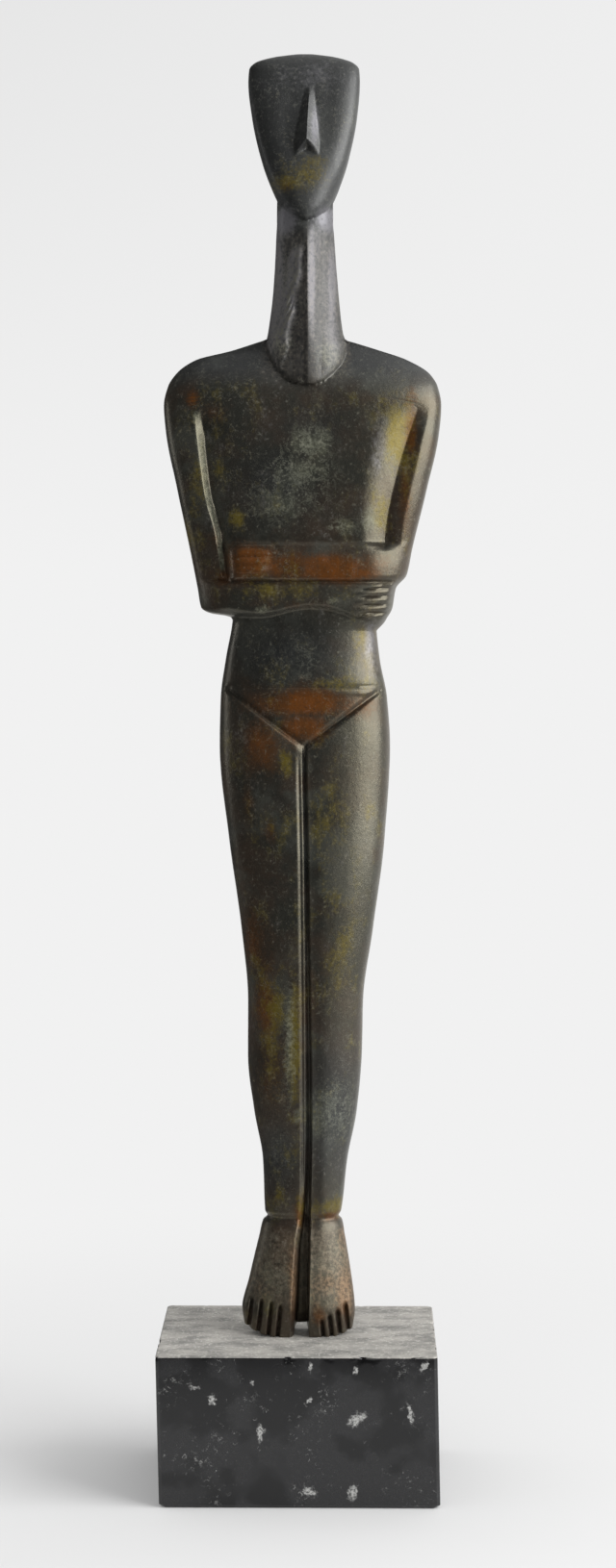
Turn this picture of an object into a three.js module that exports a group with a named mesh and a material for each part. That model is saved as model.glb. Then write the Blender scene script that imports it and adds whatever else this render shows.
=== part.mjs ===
// A folded-arm figurine: a cast bronze figure in the manner of the old marble idols, standing on a
// sawn block of black marble. Millimetres, +Z up. The figure faces -Y, +X is to the viewer's right,
// and the origin is the centre of the plinth's underside.
import * as THREE from "three";

// Driving dimensions
const figureHeight = 462;
const figureOffset = 1.7; // how far the figure stands to the right of the middle of the plinth's top
const plinthWidth = 100;
const plinthDepth = 80;
const plinthHeight = 54.6;
const plinthLean = 1.15; // the block is sawn out of square: its top lies this far to the left of its foot
const plinthChamfer = 1.2; // upright edges and the edges of the underside
const plinthArris = 0.4; // edges of the top

// Colours and finishes
const finish = (name, color, metalness, roughness) =>
  new THREE.MeshStandardMaterial({ name, color, metalness, roughness });
const bronze = finish("bronze", 0x35302a, 0.6, 0.42);
const marble = finish("marble", 0x1d1d1e, 0, 0.3);

// The figure's form is given in hundredths of its height, measured from the soles and from its centre line.
const hundredth = figureHeight / 100;

const clamp = (value, low, high) => Math.min(high, Math.max(low, value));
const between = (a, b, t) => a + (b - a) * t;
const ease = (t) => t * t * (3 - 2 * t);
// 0 at one value, 1 at the other, and smooth between them
const ramp = (value, from, to) => ease(clamp((value - from) / (to - from), 0, 1));
// 1 between two values and 0 outside them, with soft ends
const within = (value, low, high, soft) =>
  ramp(value, low - soft, low + soft) * (1 - ramp(value, high - soft, high + soft));
const bell = (distance, width) => Math.exp(-((distance / width) ** 2));

// A smooth line through stations of [height, value] that never swings past them
function curve(stations) {
  const slopes = stations.slice(1).map((s, i) => (s[1] - stations[i][1]) / (s[0] - stations[i][0]));
  const tangents = stations.map((_, i) => {
    const before = slopes[Math.max(i - 1, 0)];
    const after = slopes[Math.min(i, slopes.length - 1)];
    return before * after <= 0 ? 0 : (2 * before * after) / (before + after);
  });
  return (height) => {
    const h = clamp(height, stations[0][0], stations.at(-1)[0]);
    const i = clamp(stations.findIndex((s) => s[0] >= h) - 1, 0, slopes.length - 1);
    const span = stations[i + 1][0] - stations[i][0];
    const t = (h - stations[i][0]) / span;
    const bend = span * (tangents[i] * t * (1 - t) ** 2 - tangents[i + 1] * t * t * (1 - t));
    return between(stations[i][1], stations[i + 1][1], ease(t)) + bend;
  };
}

// The figure is four masses that run into each other. A mass is set out as levels, from the bottom up:
// height, left edge, right edge, front, back, and how square it is in front and behind. 2 is an ellipse.
function mass(levels) {
  const column = (n) => curve(levels.map((level) => [level[0], level[n]]));
  return {
    low: levels[0][0],
    high: levels.at(-1)[0],
    left: column(1),
    right: column(2),
    front: column(3),
    back: column(4),
    frontSquareness: column(5),
    backSquareness: column(6),
  };
}

const legs = mass([
  [0, -4.6, 3.95, -2.4, 0.75, 2, 2.2], // soles
  [1.6, -4.76, 4.14, -2.55, 1.02, 2, 2.2], // toes
  [4.4, -4.2, 3.87, -2.35, 2.3, 2.1, 2.2],
  [7.6, -3.45, 3.33, -1.85, 3.2, 2.3, 2.2], // heels
  [8.8, -3.15, 3.12, -1.52, 2.9, 2.3, 2.2],
  [9.15, -2.8, 2.85, -1.3, 2.6, 2.3, 2.2], // ankles
  [9.6, -3, 3.05, -1.42, 2.65, 2.4, 2.2],
  [13.7, -3.16, 3.53, -1.68, 2.95, 2.4, 2.2],
  [17.5, -3.84, 4.26, -2.08, 3.28, 2.4, 2.2],
  [22, -4.33, 4.66, -2.6, 3.38, 2.4, 2.2], // calves
  [26.5, -4.3, 4.76, -3.06, 2.83, 2.5, 2.3], // knees
  [32, -4.78, 5.5, -3.5, 2.95, 2.5, 2.3],
  [39, -5.74, 6.4, -3.82, 3.48, 2.5, 2.4],
  [46.5, -6.5, 6.84, -3.81, 3.95, 2.5, 2.4], // hips
  [50.2, -6.4, 6.6, -3.53, 3.35, 2.5, 2.4],
  [53.2, -6, 6.02, -3.12, 2.8, 2.5, 2.4],
  [56.3, -5.46, 5.72, -3.1, 2.6, 2.6, 2.5], // waist
  [60, -5.3, 5.6, -3, 2.5, 2.6, 2.5],
]);

const torso = mass([
  [55.4, -5.2, 5.75, -2.8, 2.3, 2.6, 2.4],
  [56.1, -5.4, 6.4, -3.1, 2.55, 2.7, 2.5], // heel of the lower hand
  [56.5, -5.65, 6.63, -3.16, 2.6, 2.8, 2.6],
  [56.78, -7.25, 6.82, -3.2, 2.62, 2.8, 2.7],
  [57.2, -7.9, 7, -3.24, 2.63, 2.9, 2.8], // left elbow
  [58.7, -8.17, 7.27, -3.38, 2.66, 3, 3],
  [59.75, -8.37, 8.1, -3.43, 2.7, 3, 3], // right elbow
  [61.8, -8.77, 8.53, -3.52, 2.75, 3.1, 3],
  [66.3, -9.72, 9.63, -3.72, 2.92, 3.3, 3], // chest
  [70.8, -10.6, 10.6, -3.58, 2.87, 3.2, 2.9],
  [72.9, -10.76, 10.76, -3.22, 2.6, 3, 2.8], // shoulders
  [74.2, -10.5, 10.53, -2.8, 2.3, 2.8, 2.6],
  [75.3, -9.82, 9.85, -2.15, 1.95, 2.6, 2.5],
  [76.4, -8.25, 8.05, -1.3, 1.5, 2.4, 2.4],
  [77.1, -5.5, 6, -0.78, 1.2, 2.3, 2.3],
  [77.9, -3, 3.4, -0.3, 0.8, 2.2, 2.2],
]);

const neck = mass([
  [74.35, -0.1, 0.85, -2.98, 1.9, 5, 2], // lowest point of the collar
  [74.75, -1.35, 1.95, -2.97, 1.93, 4.5, 2],
  [75.3, -1.95, 2.55, -2.95, 1.95, 3.6, 2],
  [76.3, -2.55, 3.25, -2.9, 2, 2.5, 2],
  [77.5, -2.85, 3.45, -2.82, 2.05, 1.9, 2], // where the neck leaves the shoulders
  [78.4, -2.7, 3.15, -2.73, 2.05, 1.7, 2],
  [81, -2.34, 2.84, -2.52, 2.05, 1.5, 2],
  [84.1, -2.12, 2.58, -2.29, 2.02, 1.45, 2],
  [85.8, -2.04, 2.46, -2.2, 2.03, 1.5, 2],
  [87, -1.98, 2.36, -2.12, 2.05, 2.1, 2], // under the jaw
  [89.6, -1.95, 2.35, -2.1, 2.2, 2.2, 2],
]);

const head = mass([
  [87, 0.05, 0.5, -2.5, 1.4, 2, 2], // chin
  [87.25, -0.75, 1.3, -2.8, 1.5, 2, 2],
  [88, -1.6, 2.1, -3.08, 1.75, 2.2, 2],
  [89.3, -2.3, 2.75, -3.1, 2.2, 2.5, 2.1],
  [91.5, -3.12, 3.5, -2.75, 2.6, 3.6, 2.3],
  [95, -3.92, 4.2, -1.85, 3.05, 4.4, 2.4],
  [97.8, -4.21, 4.44, -1, 3.15, 4.4, 2.4], // brow
  [98.8, -4.15, 4.38, -0.55, 2.95, 4, 2.4],
  [99.3, -3.75, 3.95, -0.2, 2.65, 3.4, 2.4],
  [99.75, -2.45, 2.65, 0.3, 2.1, 3, 2.4],
  [100, -0.6, 0.9, 0.8, 1.3, 3, 2.4], // crown
]);
const masses = [legs, torso, neck, head];
const massesAt = (z) => masses.filter((m) => z >= m.low && z <= m.high);

// The line that the nose, the keel of the neck, the fork and the cleft between the legs follow
const centreLine = curve([
  [0, -0.1], [7.2, 0.12], [12, 0.38], [17, 0.46], [37, 0.32], [46.7, 0.17], [66, 0.2], [76, 0.37],
  [92.8, 0.36], [97, 0.55],
]);
const fromCentre = (x, z) => Math.abs(x - centreLine(z));

// Carving. Each function gives how far it sets the surface out, or in where it is below 0.

// A wedge of a nose, between slightly hollow cheeks
const nose = { top: 97.3, tip: 93, root: 92.2, rise: 1.15, halfAtTop: 0.35, halfAtTip: 1, hollow: 0.14 };
function faceCarving(x, z) {
  const across = fromCentre(x, z);
  const down = clamp((nose.top - z) / (nose.top - nose.tip), 0, 1);
  const half = between(nose.halfAtTop, nose.halfAtTip, down);
  const ridge = nose.rise * down ** 0.8 * ramp(z, nose.root, nose.tip);
  const hollow = nose.hollow * bell(across - 1.5 * nose.halfAtTip, 0.7) * within(z, nose.root, nose.top, 1.2);
  return ridge * Math.max(0, 1 - across / half) ** 0.85 - hollow;
}

// The keel down the front of the neck, from a little below the chin to the collar
const keel = { foot: 74.5, top: 86.2, rise: 0.3, half: 1.3, fade: 0.6 };
function keelCarving(x, z) {
  const ridge = Math.max(0, 1 - fromCentre(x, z) / keel.half);
  return keel.rise * ridge * within(z, keel.foot, keel.top, keel.fade);
}

// The deep lines between the upper arms and the chest. Each has a steep wall on the arm's side, out to the
// front of the arm, and rolls softly up to the chest on the other.
const leftArm = {
  side: -1,
  foot: 59.4,
  head: 72.2,
  depth: 0.62,
  line: curve([[59.5, -5.78], [63.2, -6.3], [65.8, -6.96], [71.8, -7.69]]),
  wall: curve([[59.5, 0.4], [72, 0.62]]),
  roll: curve([[59.5, 0.9], [65, 2], [72, 2.2]]),
};
const rightArm = {
  side: 1,
  foot: 61.9,
  head: 72.6,
  depth: 0.8,
  line: curve([[62.6, 6.38], [63.9, 6.53], [67.9, 7.41], [72.7, 8.95]]),
  wall: curve([[62.6, 1.3], [67.9, 1.25], [70.2, 0.8], [73, 0.4]]),
  roll: curve([[62, 1.6], [68, 2.4], [73, 2.6]]),
};
const armFade = { foot: 0.4, head: 1 };
function armCarving(x, z, arm) {
  const beyond = (x - arm.line(z)) * arm.side;
  const fall = beyond > 0
    ? 1 - clamp(beyond / arm.wall(z), 0, 1)
    : (1 - clamp(-beyond / arm.roll(z), 0, 1)) ** 1.5;
  const foot = ramp(z, arm.foot - armFade.foot, arm.foot + armFade.foot);
  const head = 1 - ramp(z, arm.head - armFade.head, arm.head + armFade.head);
  return -arm.depth * fall * foot * head;
}

// Folded forearms. The figure's left forearm lies above, with its hand at the viewer's left.
const forearms = { top: 62.3, crest: 60.3, fold: 59.23, foldDepth: 0.3, foldHalf: 0.15, rise: 0.8 };
const forearmFoot = curve([[-5.6, 56.75], [-3.5, 56.42], [0.6, 57.09], [1.9, 57], [4.2, 56.28], [6, 55.85]]);
function forearmCarving(x, z) {
  const { top, crest, fold, foldHalf } = forearms;
  const foot = forearmFoot(x);
  const upper = between(0.45, 1, ramp(z, top, crest)) * ramp(z, top + 0.1, top - 0.35)
    * ramp(x, -6, -5.5) * (1 - ramp(x, 6.6, 8.2));
  const lower = between(0.5, 0.9, ramp(z, foot, fold)) * ramp(z, foot - 0.05, foot + 0.5)
    * ramp(x, -8.2, -5.5) * (1 - ramp(x, 7, 7.6));
  const cut = forearms.foldDepth * bell(z - fold, 1.5 * foldHalf)
    * ramp(x, -7.2, -6) * (1 - ramp(x, 6.6, 8.2));
  return forearms.rise * between(lower, upper, ramp(z, fold - foldHalf, fold + foldHalf)) - cut;
}

// Hands: a little thicker than the wrists, with a cut between each two fingers
const fingerCuts = 4;
const fingerCutWidth = 0.17;
const upperHand = { tips: -5.75, wrist: -2.6, firstCut: 61.85, pitch: 0.68, depth: 0.12, rise: 0.12 };
const lowerHand = { tips: 7.4, wrist: 4.3, firstCut: 58.77, pitch: 0.64, depth: 0.2, rise: 0.08 };
const lastCut = (hand) => hand.firstCut - (fingerCuts - 1) * hand.pitch;
function handCarving(x, z, hand) {
  const inward = Math.sign(hand.wrist - hand.tips);
  const fade = ramp((x - hand.tips) * inward, -0.25, 0.1) * ramp((hand.wrist - x) * inward, -0.25, 0.25);
  let rise = hand.rise * within(z, lastCut(hand) - hand.pitch / 2, hand.firstCut + hand.pitch / 2, 0.2);
  for (let cut = 0; cut < fingerCuts; cut++) {
    rise -= hand.depth * bell(z - (hand.firstCut - cut * hand.pitch), fingerCutWidth);
  }
  return rise * fade;
}

// The fork: a belt line, and below it a sunk triangle between two slanting cuts that meet at the legs' cleft
const fork = { belt: 51.15, corner: 50.95, half: 6, apex: 46.7, apexHalf: 0.2, cut: 0.28, cutWidth: 0.22 };
const forkSlope = (fork.corner - fork.apex) / (fork.half - fork.apexHalf);
const forkHalf = (z) => clamp(fork.apexHalf + (z - fork.apex) / forkSlope, fork.apexHalf, fork.half);
const beltDepth = 0.14;
const triangleDepth = 0.1;
function forkCarving(x, z) {
  const across = fromCentre(x, z);
  const offCut = (z - fork.apex - (across - fork.apexHalf) * forkSlope) / Math.hypot(1, forkSlope);
  const cuts = fork.cut * bell(offCut, fork.cutWidth) * (1 - ramp(z, fork.corner - 0.1, fork.corner + 0.2));
  const triangle = triangleDepth * ramp(offCut, 0, 0.3) * (1 - ramp(z, fork.belt - 0.75, fork.belt - 0.55));
  const belt = beltDepth * bell(z - fork.belt, 0.16);
  return -cuts - (triangle + belt) * (1 - ramp(across, fork.half - 0.3, fork.half + 0.2));
}

// The cleft between the legs, wider and deeper between the feet, with the legs rounding into it
const cleft = {
  half: curve([[0, 0.6], [3, 0.56], [7, 0.42], [8.9, 0.3], [12, 0.24], [46, 0.22]]),
  depth: curve([[0, 2.6], [6, 2.1], [9.5, 1.1], [14, 0.8], [22, 0.6], [40, 0.5], [45.5, 0.42], [46.9, 0]]),
  roll: curve([[0, 0.1], [8, 0.2], [14, 0.35], [40, 0.3], [46, 0.15], [46.8, 0]]),
};
function cleftCarving(x, z) {
  const share = fromCentre(x, z) / cleft.half(z);
  return -cleft.depth(z) * (1 - ramp(share, 0.6, 1.05)) - cleft.roll(z) * bell(share, 3.5);
}

// Feet: a shallow step below the ankles, and a cut between each two toes, given by its place and its top
const toeCuts = {
  left: [[-4.13, 3.1], [-3.37, 3.1], [-2.59, 3], [-1.86, 2.8]],
  right: [[3.5, 2.8], [2.85, 2.4], [2.2, 2], [1.55, 1.7]],
  depth: 0.24,
  width: 0.17,
};
const footStep = { rise: 0.08, top: 8.6 };
function footCarving(x, z) {
  let rise = footStep.rise * within(z, 0, footStep.top, 0.2);
  for (const [place, top] of [...toeCuts.left, ...toeCuts.right]) {
    rise -= toeCuts.depth * bell(x - place, toeCuts.width) * (1 - ramp(z, top - 0.7, top));
  }
  return rise;
}

function frontCarving(x, z) {
  if (z > neck.high - 1) return faceCarving(x, z);
  if (z > neck.low) return keelCarving(x, z);
  const arms = armCarving(x, z, leftArm) + armCarving(x, z, rightArm) + forearmCarving(x, z);
  const hands = handCarving(x, z, upperHand) + handCarving(x, z, lowerHand);
  return arms + hands + forkCarving(x, z) + cleftCarving(x, z) + footCarving(x, z);
}

// The back is plainer: a line down the spine, one inside each arm, and the cleft between the legs
const backLines = {
  half: 0.45,
  fade: 1.5,
  spine: { depth: 0.28, foot: 51, top: 73 },
  arms: { depth: 0.3, foot: 59, top: 71, place: 6.2, slant: 0.14 },
  legs: { depth: 0.75, foot: 1, top: 47.5 },
};
function backCarving(x, z) {
  const across = fromCentre(x, z);
  const armLine = backLines.arms.place + (z - legs.high) * backLines.arms.slant;
  const cut = ({ depth, foot, top }, distance) =>
    depth * bell(distance, backLines.half) * within(z, foot, top, backLines.fade);
  return -cut(backLines.spine, across) - cut(backLines.arms, across - armLine) - cut(backLines.legs, across);
}

// How full one mass is at x, from 0 at its edges to 1 in the middle
function fullness(m, x, z, squareness) {
  const middle = (m.left(z) + m.right(z)) / 2;
  const share = Math.abs(x - middle) / ((m.right(z) - m.left(z)) / 2);
  return share >= 1 ? 0 : (1 - share ** squareness) ** (1 / squareness);
}

// The larger of two values, with a small fillet where they meet
const fillet = 0.3;
const softMax = (a, b) => Math.max(a, b) + Math.max(fillet - Math.abs(a - b), 0) ** 2 / (4 * fillet);

// Depth of the surface at x and height z: the foremost, or the hindmost, of the masses there, and its carving
function depthAt(x, z, side) {
  const sign = side === "front" ? -1 : 1;
  const depths = massesAt(z).map((m) => {
    const middle = (m.front(z) + m.back(z)) / 2;
    return sign * between(middle, m[side](z), fullness(m, x, z, m[side + "Squareness"](z)));
  });
  const inside = Math.max(...massesAt(z).map((m) => fullness(m, x, z, 2)));
  const carved = side === "front" ? frontCarving(x, z) : backCarving(x, z);
  return sign * (depths.reduce((a, b) => softMax(a, b)) + carved * ramp(inside, 0.1, 0.4));
}

// The inner halves of the feet stand flat on the plinth. The outer toes lift clear of it, and so does the web
// between the feet.
const footLift = { from: 1.9, to: 4.7, outer: 0.95, web: 0.65, fadesAt: 6 };
function lifted(x, z) {
  const outward = clamp((Math.abs(x) - footLift.from) / (footLift.to - footLift.from), 0, 1);
  const inWeb = 1 - ramp(fromCentre(x, z) / cleft.half(z), 0.7, 1);
  const lift = footLift.outer * outward ** 2 + footLift.web * inWeb;
  return z + lift * clamp(1 - z / footLift.fadesAt, 0, 1) ** 2;
}

// Where the columns of vertices stand. On each side a bundle of them follows the carving: the slanting cut of
// the fork, the line inside the arm, the edge of the collar and the edge of the chin.
const steps = (from, to, count) => Array.from({ length: count + 1 }, (_, i) => between(from, to, i / count));
const collarTop = 77.5;
const throat = 81;
const jawTop = 89.3;
const brow = 98;
const guideShare = 0.6; // how far out the guide lies at the throat and above the jaw
function guideOf(arm, side) {
  const follow = (line, from, to) => steps(from, to, 4).map((z) => [z, line(z)]);
  return curve([
    [fork.belt, centreLine(fork.belt) + arm.side * fork.half],
    ...follow(arm.line, arm.foot, arm.head),
    ...follow(neck[side], neck.low + 0.15, collarTop),
    [throat, between(centreLine(throat), neck[side](throat), guideShare)],
    ...follow(head[side], head.low + 0.1, jawTop),
    [head.high, guideShare * head[side](brow)],
  ]);
}
const guides = { left: guideOf(leftArm, "left"), right: guideOf(rightArm, "right") };
const bundleHalf = curve([
  [0, 0.7], [40, 0.7], [45, 0.45], [52, 0.45], [62, 0.55], [72, 0.6], [75, 0.3], [88, 0.3], [92, 0.6],
]);
const outerShares = [0, 0.05, 0.2, 0.46, 0.74];
const bundleShares = [1, 0.5, 0, -0.5, -1];
const innerShares = [0.2, 0.4, 0.6, 0.8];
const centreColumns = [-1.8, -1.1, -0.65, 0, 0.65, 1.1, 1.8];
const backColumns = 11;

// The columns of one side at one height, from the silhouette inwards. At the toes each cut has its own.
function sideColumns(z, side, edge, inner) {
  const sign = Math.sign(edge - inner);
  const legMiddle = between(edge, inner, 0.5);
  const slant = centreLine(z) + sign * (forkHalf(z) + bundleHalf(z));
  const below = between(legMiddle, slant, ramp(z, fork.apex - 2.7, fork.apex));
  const wanted = between(below, guides[side](z), ramp(z, fork.corner - 0.2, fork.belt));
  const room = Math.abs(edge - inner);
  const half = Math.min(bundleHalf(z), 0.22 * room);
  const middle = inner + sign * clamp((wanted - inner) * sign, 1.25 * half, room - 1.4 * half);
  const columns = [
    ...outerShares.map((t) => between(edge, middle + sign * half, t)),
    ...bundleShares.map((t) => middle + sign * half * t),
    ...innerShares.map((t) => between(middle - sign * half, inner, t)),
  ];
  const stops = [edge, ...toeCuts[side].map(([place]) => place), inner];
  const toes = columns.map((_, i) => {
    const along = (i / columns.length) * (stops.length - 1);
    const stop = Math.floor(along);
    return between(stops[stop], stops[stop + 1], along - stop);
  });
  return columns.map((x, i) => between(toes[i], x, ramp(z, 2, 5)));
}

// One ring: its front points from left to right, and then its back points, also from left to right
function ringAt(z) {
  const left = Math.min(...massesAt(z).map((m) => m.left(z)));
  const right = Math.max(...massesAt(z).map((m) => m.right(z)));
  const pitch = Math.min(z > neck.high ? nose.halfAtTip / 2 : cleft.half(z), (right - left) / 12);
  const middle = clamp(centreLine(z), between(left, right, 0.4), between(left, right, 0.6));
  const centre = centreColumns.map((c) => middle + c * pitch);
  const front = [
    ...sideColumns(z, "left", left, centre[0]),
    ...centre,
    ...sideColumns(z, "right", right, centre.at(-1)).reverse(),
  ];
  const back = steps(0, Math.PI, backColumns).slice(1, -1)
    .map((angle) => (left + right) / 2 - ((right - left) / 2) * Math.cos(angle));
  const place = (side) => (x) =>
    new THREE.Vector3(x, depthAt(x, z, side), lifted(x, z)).multiplyScalar(hundredth);
  return { front: front.map(place("front")), back: back.map(place("back")) };
}

// Heights of the rings: [from, to, count] for each stretch, closer together where there is carving
const stretches = [
  [0, 3.2, 5], [3.2, 8.5, 3], [8.5, 9.15, 2], [9.15, 10, 2], [10, 43, 10], [43, fork.apex, 3],
  [fork.apex, fork.corner, 7], [fork.corner, fork.belt + 0.2, 3], [fork.belt + 0.2, 55.5, 3],
  [55.5, lastCut(lowerHand), 5], [lastCut(lowerHand), lowerHand.firstCut, 6],
  [lowerHand.firstCut, forearms.fold, 2], [forearms.fold, lastCut(upperHand), 2],
  [lastCut(upperHand), upperHand.firstCut, 6], [upperHand.firstCut, 62.5, 3], [62.5, 71.5, 6],
  [71.5, 74.2, 4], [74.2, 75.5, 5], [75.5, 78, 6], [78, 86.8, 4], [86.8, 88.8, 6], [88.8, nose.root, 3],
  [nose.root, nose.tip, 2], [nose.tip, 98.2, 4], [98.2, 99.2, 2], [99.2, head.high, 4],
];
const heights = [0, ...stretches.flatMap(([from, to, count]) => steps(from, to, count).slice(1))];

// A closed body through rings that lie above each other. Each ring has its front points and its back points,
// both from left to right.
function loft(rings) {
  const loops = rings.map(({ front, back }) => [...front, ...back.toReversed()]);
  const size = loops[0].length;
  const triangles = [];
  for (let ring = 0; ring + 1 < loops.length; ring++) {
    for (let i = 0; i < size; i++) {
      const a = ring * size + i;
      const b = ring * size + ((i + 1) % size);
      triangles.push(a, b, b + size, a, b + size, a + size);
    }
  }
  // A lid is zipped together from left to right between the ring's front and its back
  const addLid = (ring, facingUp) => {
    const corner = (point, index) => ({ point, index });
    const front = loops[ring].slice(0, rings[ring].front.length).map(corner);
    const behind = loops[ring].slice(front.length).map((point, i) => corner(point, front.length + i));
    const back = [front[0], ...behind.toReversed(), front.at(-1)];
    let [i, j] = [0, 0];
    while (i < front.length - 1 || j < back.length - 1) {
      const stepFront = j === back.length - 1
        || (i < front.length - 1 && front[i + 1].point.x <= back[j + 1].point.x);
      const next = stepFront ? front[i + 1] : back[j + 1];
      const corners = [front[i], next, back[j]].map(({ index }) => ring * size + index);
      if (new Set(corners).size === 3) triangles.push(...(facingUp ? corners : corners.toReversed()));
      if (stepFront) i++;
      else j++;
    }
  };
  addLid(0, false);
  addLid(loops.length - 1, true);
  const geometry = new THREE.BufferGeometry().setFromPoints(loops.flat());
  geometry.setIndex(triangles);
  geometry.computeVertexNormals();
  return geometry;
}

// One level of the plinth: a rectangle with its corners cut off, drawn in by inset
function plinthRing(z, inset) {
  const halfX = plinthWidth / 2 - inset;
  const halfY = plinthDepth / 2 - inset;
  const shift = (-plinthLean * z) / plinthHeight;
  const row = (sign) => [
    [-halfX, halfY - plinthChamfer], [plinthChamfer - halfX, halfY],
    [halfX - plinthChamfer, halfY], [halfX, halfY - plinthChamfer],
  ].map(([x, y]) => new THREE.Vector3(x + shift, sign * y, z));
  return { front: row(-1), back: row(1) };
}

const object = new THREE.Group();

const figure = new THREE.Mesh(loft(heights.map(ringAt)), bronze);
figure.name = "figure";
figure.position.set(figureOffset - plinthLean, 0, plinthHeight);
object.add(figure);

const plinthLevels = [
  plinthRing(0, plinthChamfer),
  plinthRing(plinthChamfer, 0),
  plinthRing(plinthHeight - plinthArris, 0),
  plinthRing(plinthHeight, plinthArris),
];
const plinth = new THREE.Mesh(loft(plinthLevels), marble);
plinth.name = "plinth";
object.add(plinth);

export default object;
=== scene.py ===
# %% [markdown]
# # A folded-arm figurine in bronze
# The real object is a cast bronze figure, about 46 cm high, on a sawn block of black marble. Its two pieces
# are already packed as plain solids. This lesson dresses them: the figure gets a fine skin that is worked
# out from the same levels and carving as its solid, and both get the finish of the real thing.

# %% The frame
import math

import bpy
import numpy as np
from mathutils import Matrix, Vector


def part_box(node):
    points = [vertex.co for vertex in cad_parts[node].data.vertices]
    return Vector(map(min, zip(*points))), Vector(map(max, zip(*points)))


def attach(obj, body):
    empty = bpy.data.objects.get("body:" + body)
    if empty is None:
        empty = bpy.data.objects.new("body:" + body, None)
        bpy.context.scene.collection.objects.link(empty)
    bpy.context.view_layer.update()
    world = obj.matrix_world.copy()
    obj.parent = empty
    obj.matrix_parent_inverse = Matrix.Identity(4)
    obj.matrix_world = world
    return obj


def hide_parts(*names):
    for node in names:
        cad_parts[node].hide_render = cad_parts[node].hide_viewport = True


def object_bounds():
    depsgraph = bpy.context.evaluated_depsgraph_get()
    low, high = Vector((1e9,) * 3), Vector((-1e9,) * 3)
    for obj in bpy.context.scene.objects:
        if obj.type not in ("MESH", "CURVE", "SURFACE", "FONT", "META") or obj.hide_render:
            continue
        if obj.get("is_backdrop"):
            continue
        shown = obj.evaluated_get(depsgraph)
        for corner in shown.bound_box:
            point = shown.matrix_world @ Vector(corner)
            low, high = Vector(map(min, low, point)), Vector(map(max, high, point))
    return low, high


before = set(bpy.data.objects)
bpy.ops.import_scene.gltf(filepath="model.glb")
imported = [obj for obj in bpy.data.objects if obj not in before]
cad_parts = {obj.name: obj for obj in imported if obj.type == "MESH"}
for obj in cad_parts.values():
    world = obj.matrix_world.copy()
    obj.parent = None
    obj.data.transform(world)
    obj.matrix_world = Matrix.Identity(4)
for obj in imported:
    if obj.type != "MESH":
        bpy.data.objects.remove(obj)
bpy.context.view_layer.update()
figure_low, figure_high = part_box("figure")
plinth_low, plinth_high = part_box("plinth")
unit = (figure_high.z - figure_low.z) / 100  # the figure's form is given in hundredths of its height
middle = (figure_low.x + figure_high.x) / 2
print(f"figure {100 * unit * 1000:.0f} mm high, on a block {plinth_high.z * 1000:.1f} mm high")

# %% [markdown]
# The camera comes first, so that everything after it can be judged from the right place. It stands a little
# above the middle of the figure and looks slightly down. A long lens keeps the upright lines nearly
# parallel.

# %% The camera
camera_data = bpy.data.cameras.new("camera")
camera_data.sensor_width = 36
camera_data.lens = 36 * 3364 / 1630  # the long side of the picture is 1630 pixels high
camera = bpy.data.objects.new("camera", camera_data)
camera.location = (0.017735, -1.168626, 0.333862)
camera.rotation_euler = (math.radians(90 - 3.853), 0, math.radians(0.748))
bpy.context.scene.collection.objects.link(camera)
bpy.context.scene.camera = camera
print(f"lens {camera_data.lens:.1f} mm")

# %% [markdown]
# ## Lines and levels
# A sculptor sets out a figure by levels: how wide and how deep it is at the soles, the ankles, the knees and
# so on. A smooth line through such stations that never swings past them gives every height in between.

# %% Small helpers for smooth steps and lines
def ramp(value, start, end):
    t = np.clip((value - start) / (end - start), 0, 1)
    return t * t * (3 - 2 * t)


def within(value, low, high, soft):
    return ramp(value, low - soft, low + soft) * (1 - ramp(value, high - soft, high + soft))


def bell(distance, width):
    return np.exp(-((distance / width) ** 2))


def between(a, b, t):
    return a + (b - a) * t


def curve(stations):
    places, values = np.array(stations, float).T
    slopes = np.diff(values) / np.diff(places)
    before = np.concatenate([slopes[:1], slopes])
    after = np.concatenate([slopes, slopes[-1:]])
    same_way = before * after > 0
    tangents = np.where(same_way, 2 * before * after / np.where(same_way, before + after, 1), 0)

    def at(place):
        place = np.clip(place, places[0], places[-1])
        i = np.clip(np.searchsorted(places, place) - 1, 0, len(slopes) - 1)
        span = places[i + 1] - places[i]
        t = (place - places[i]) / span
        bend = span * (tangents[i] * t * (1 - t) ** 2 - tangents[i + 1] * t * t * (1 - t))
        return between(values[i], values[i + 1], t * t * (3 - 2 * t)) + bend

    return at


# %% [markdown]
# The figure is four masses that run into each other. Each row below is one level: its height, left and right
# edge, front and back, and how square it is in front and behind, where 2 is an ellipse. They are the levels
# that the solid is made from, so the skin keeps the solid's form.

# %% The four masses
def mass(levels):
    columns = np.array(levels, float)
    lines = [curve(columns[:, [0, n]]) for n in range(1, 7)]
    keys = ("left", "right", "front", "back", "front_square", "back_square")
    return {"low": columns[0, 0], "high": columns[-1, 0], **dict(zip(keys, lines))}


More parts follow.
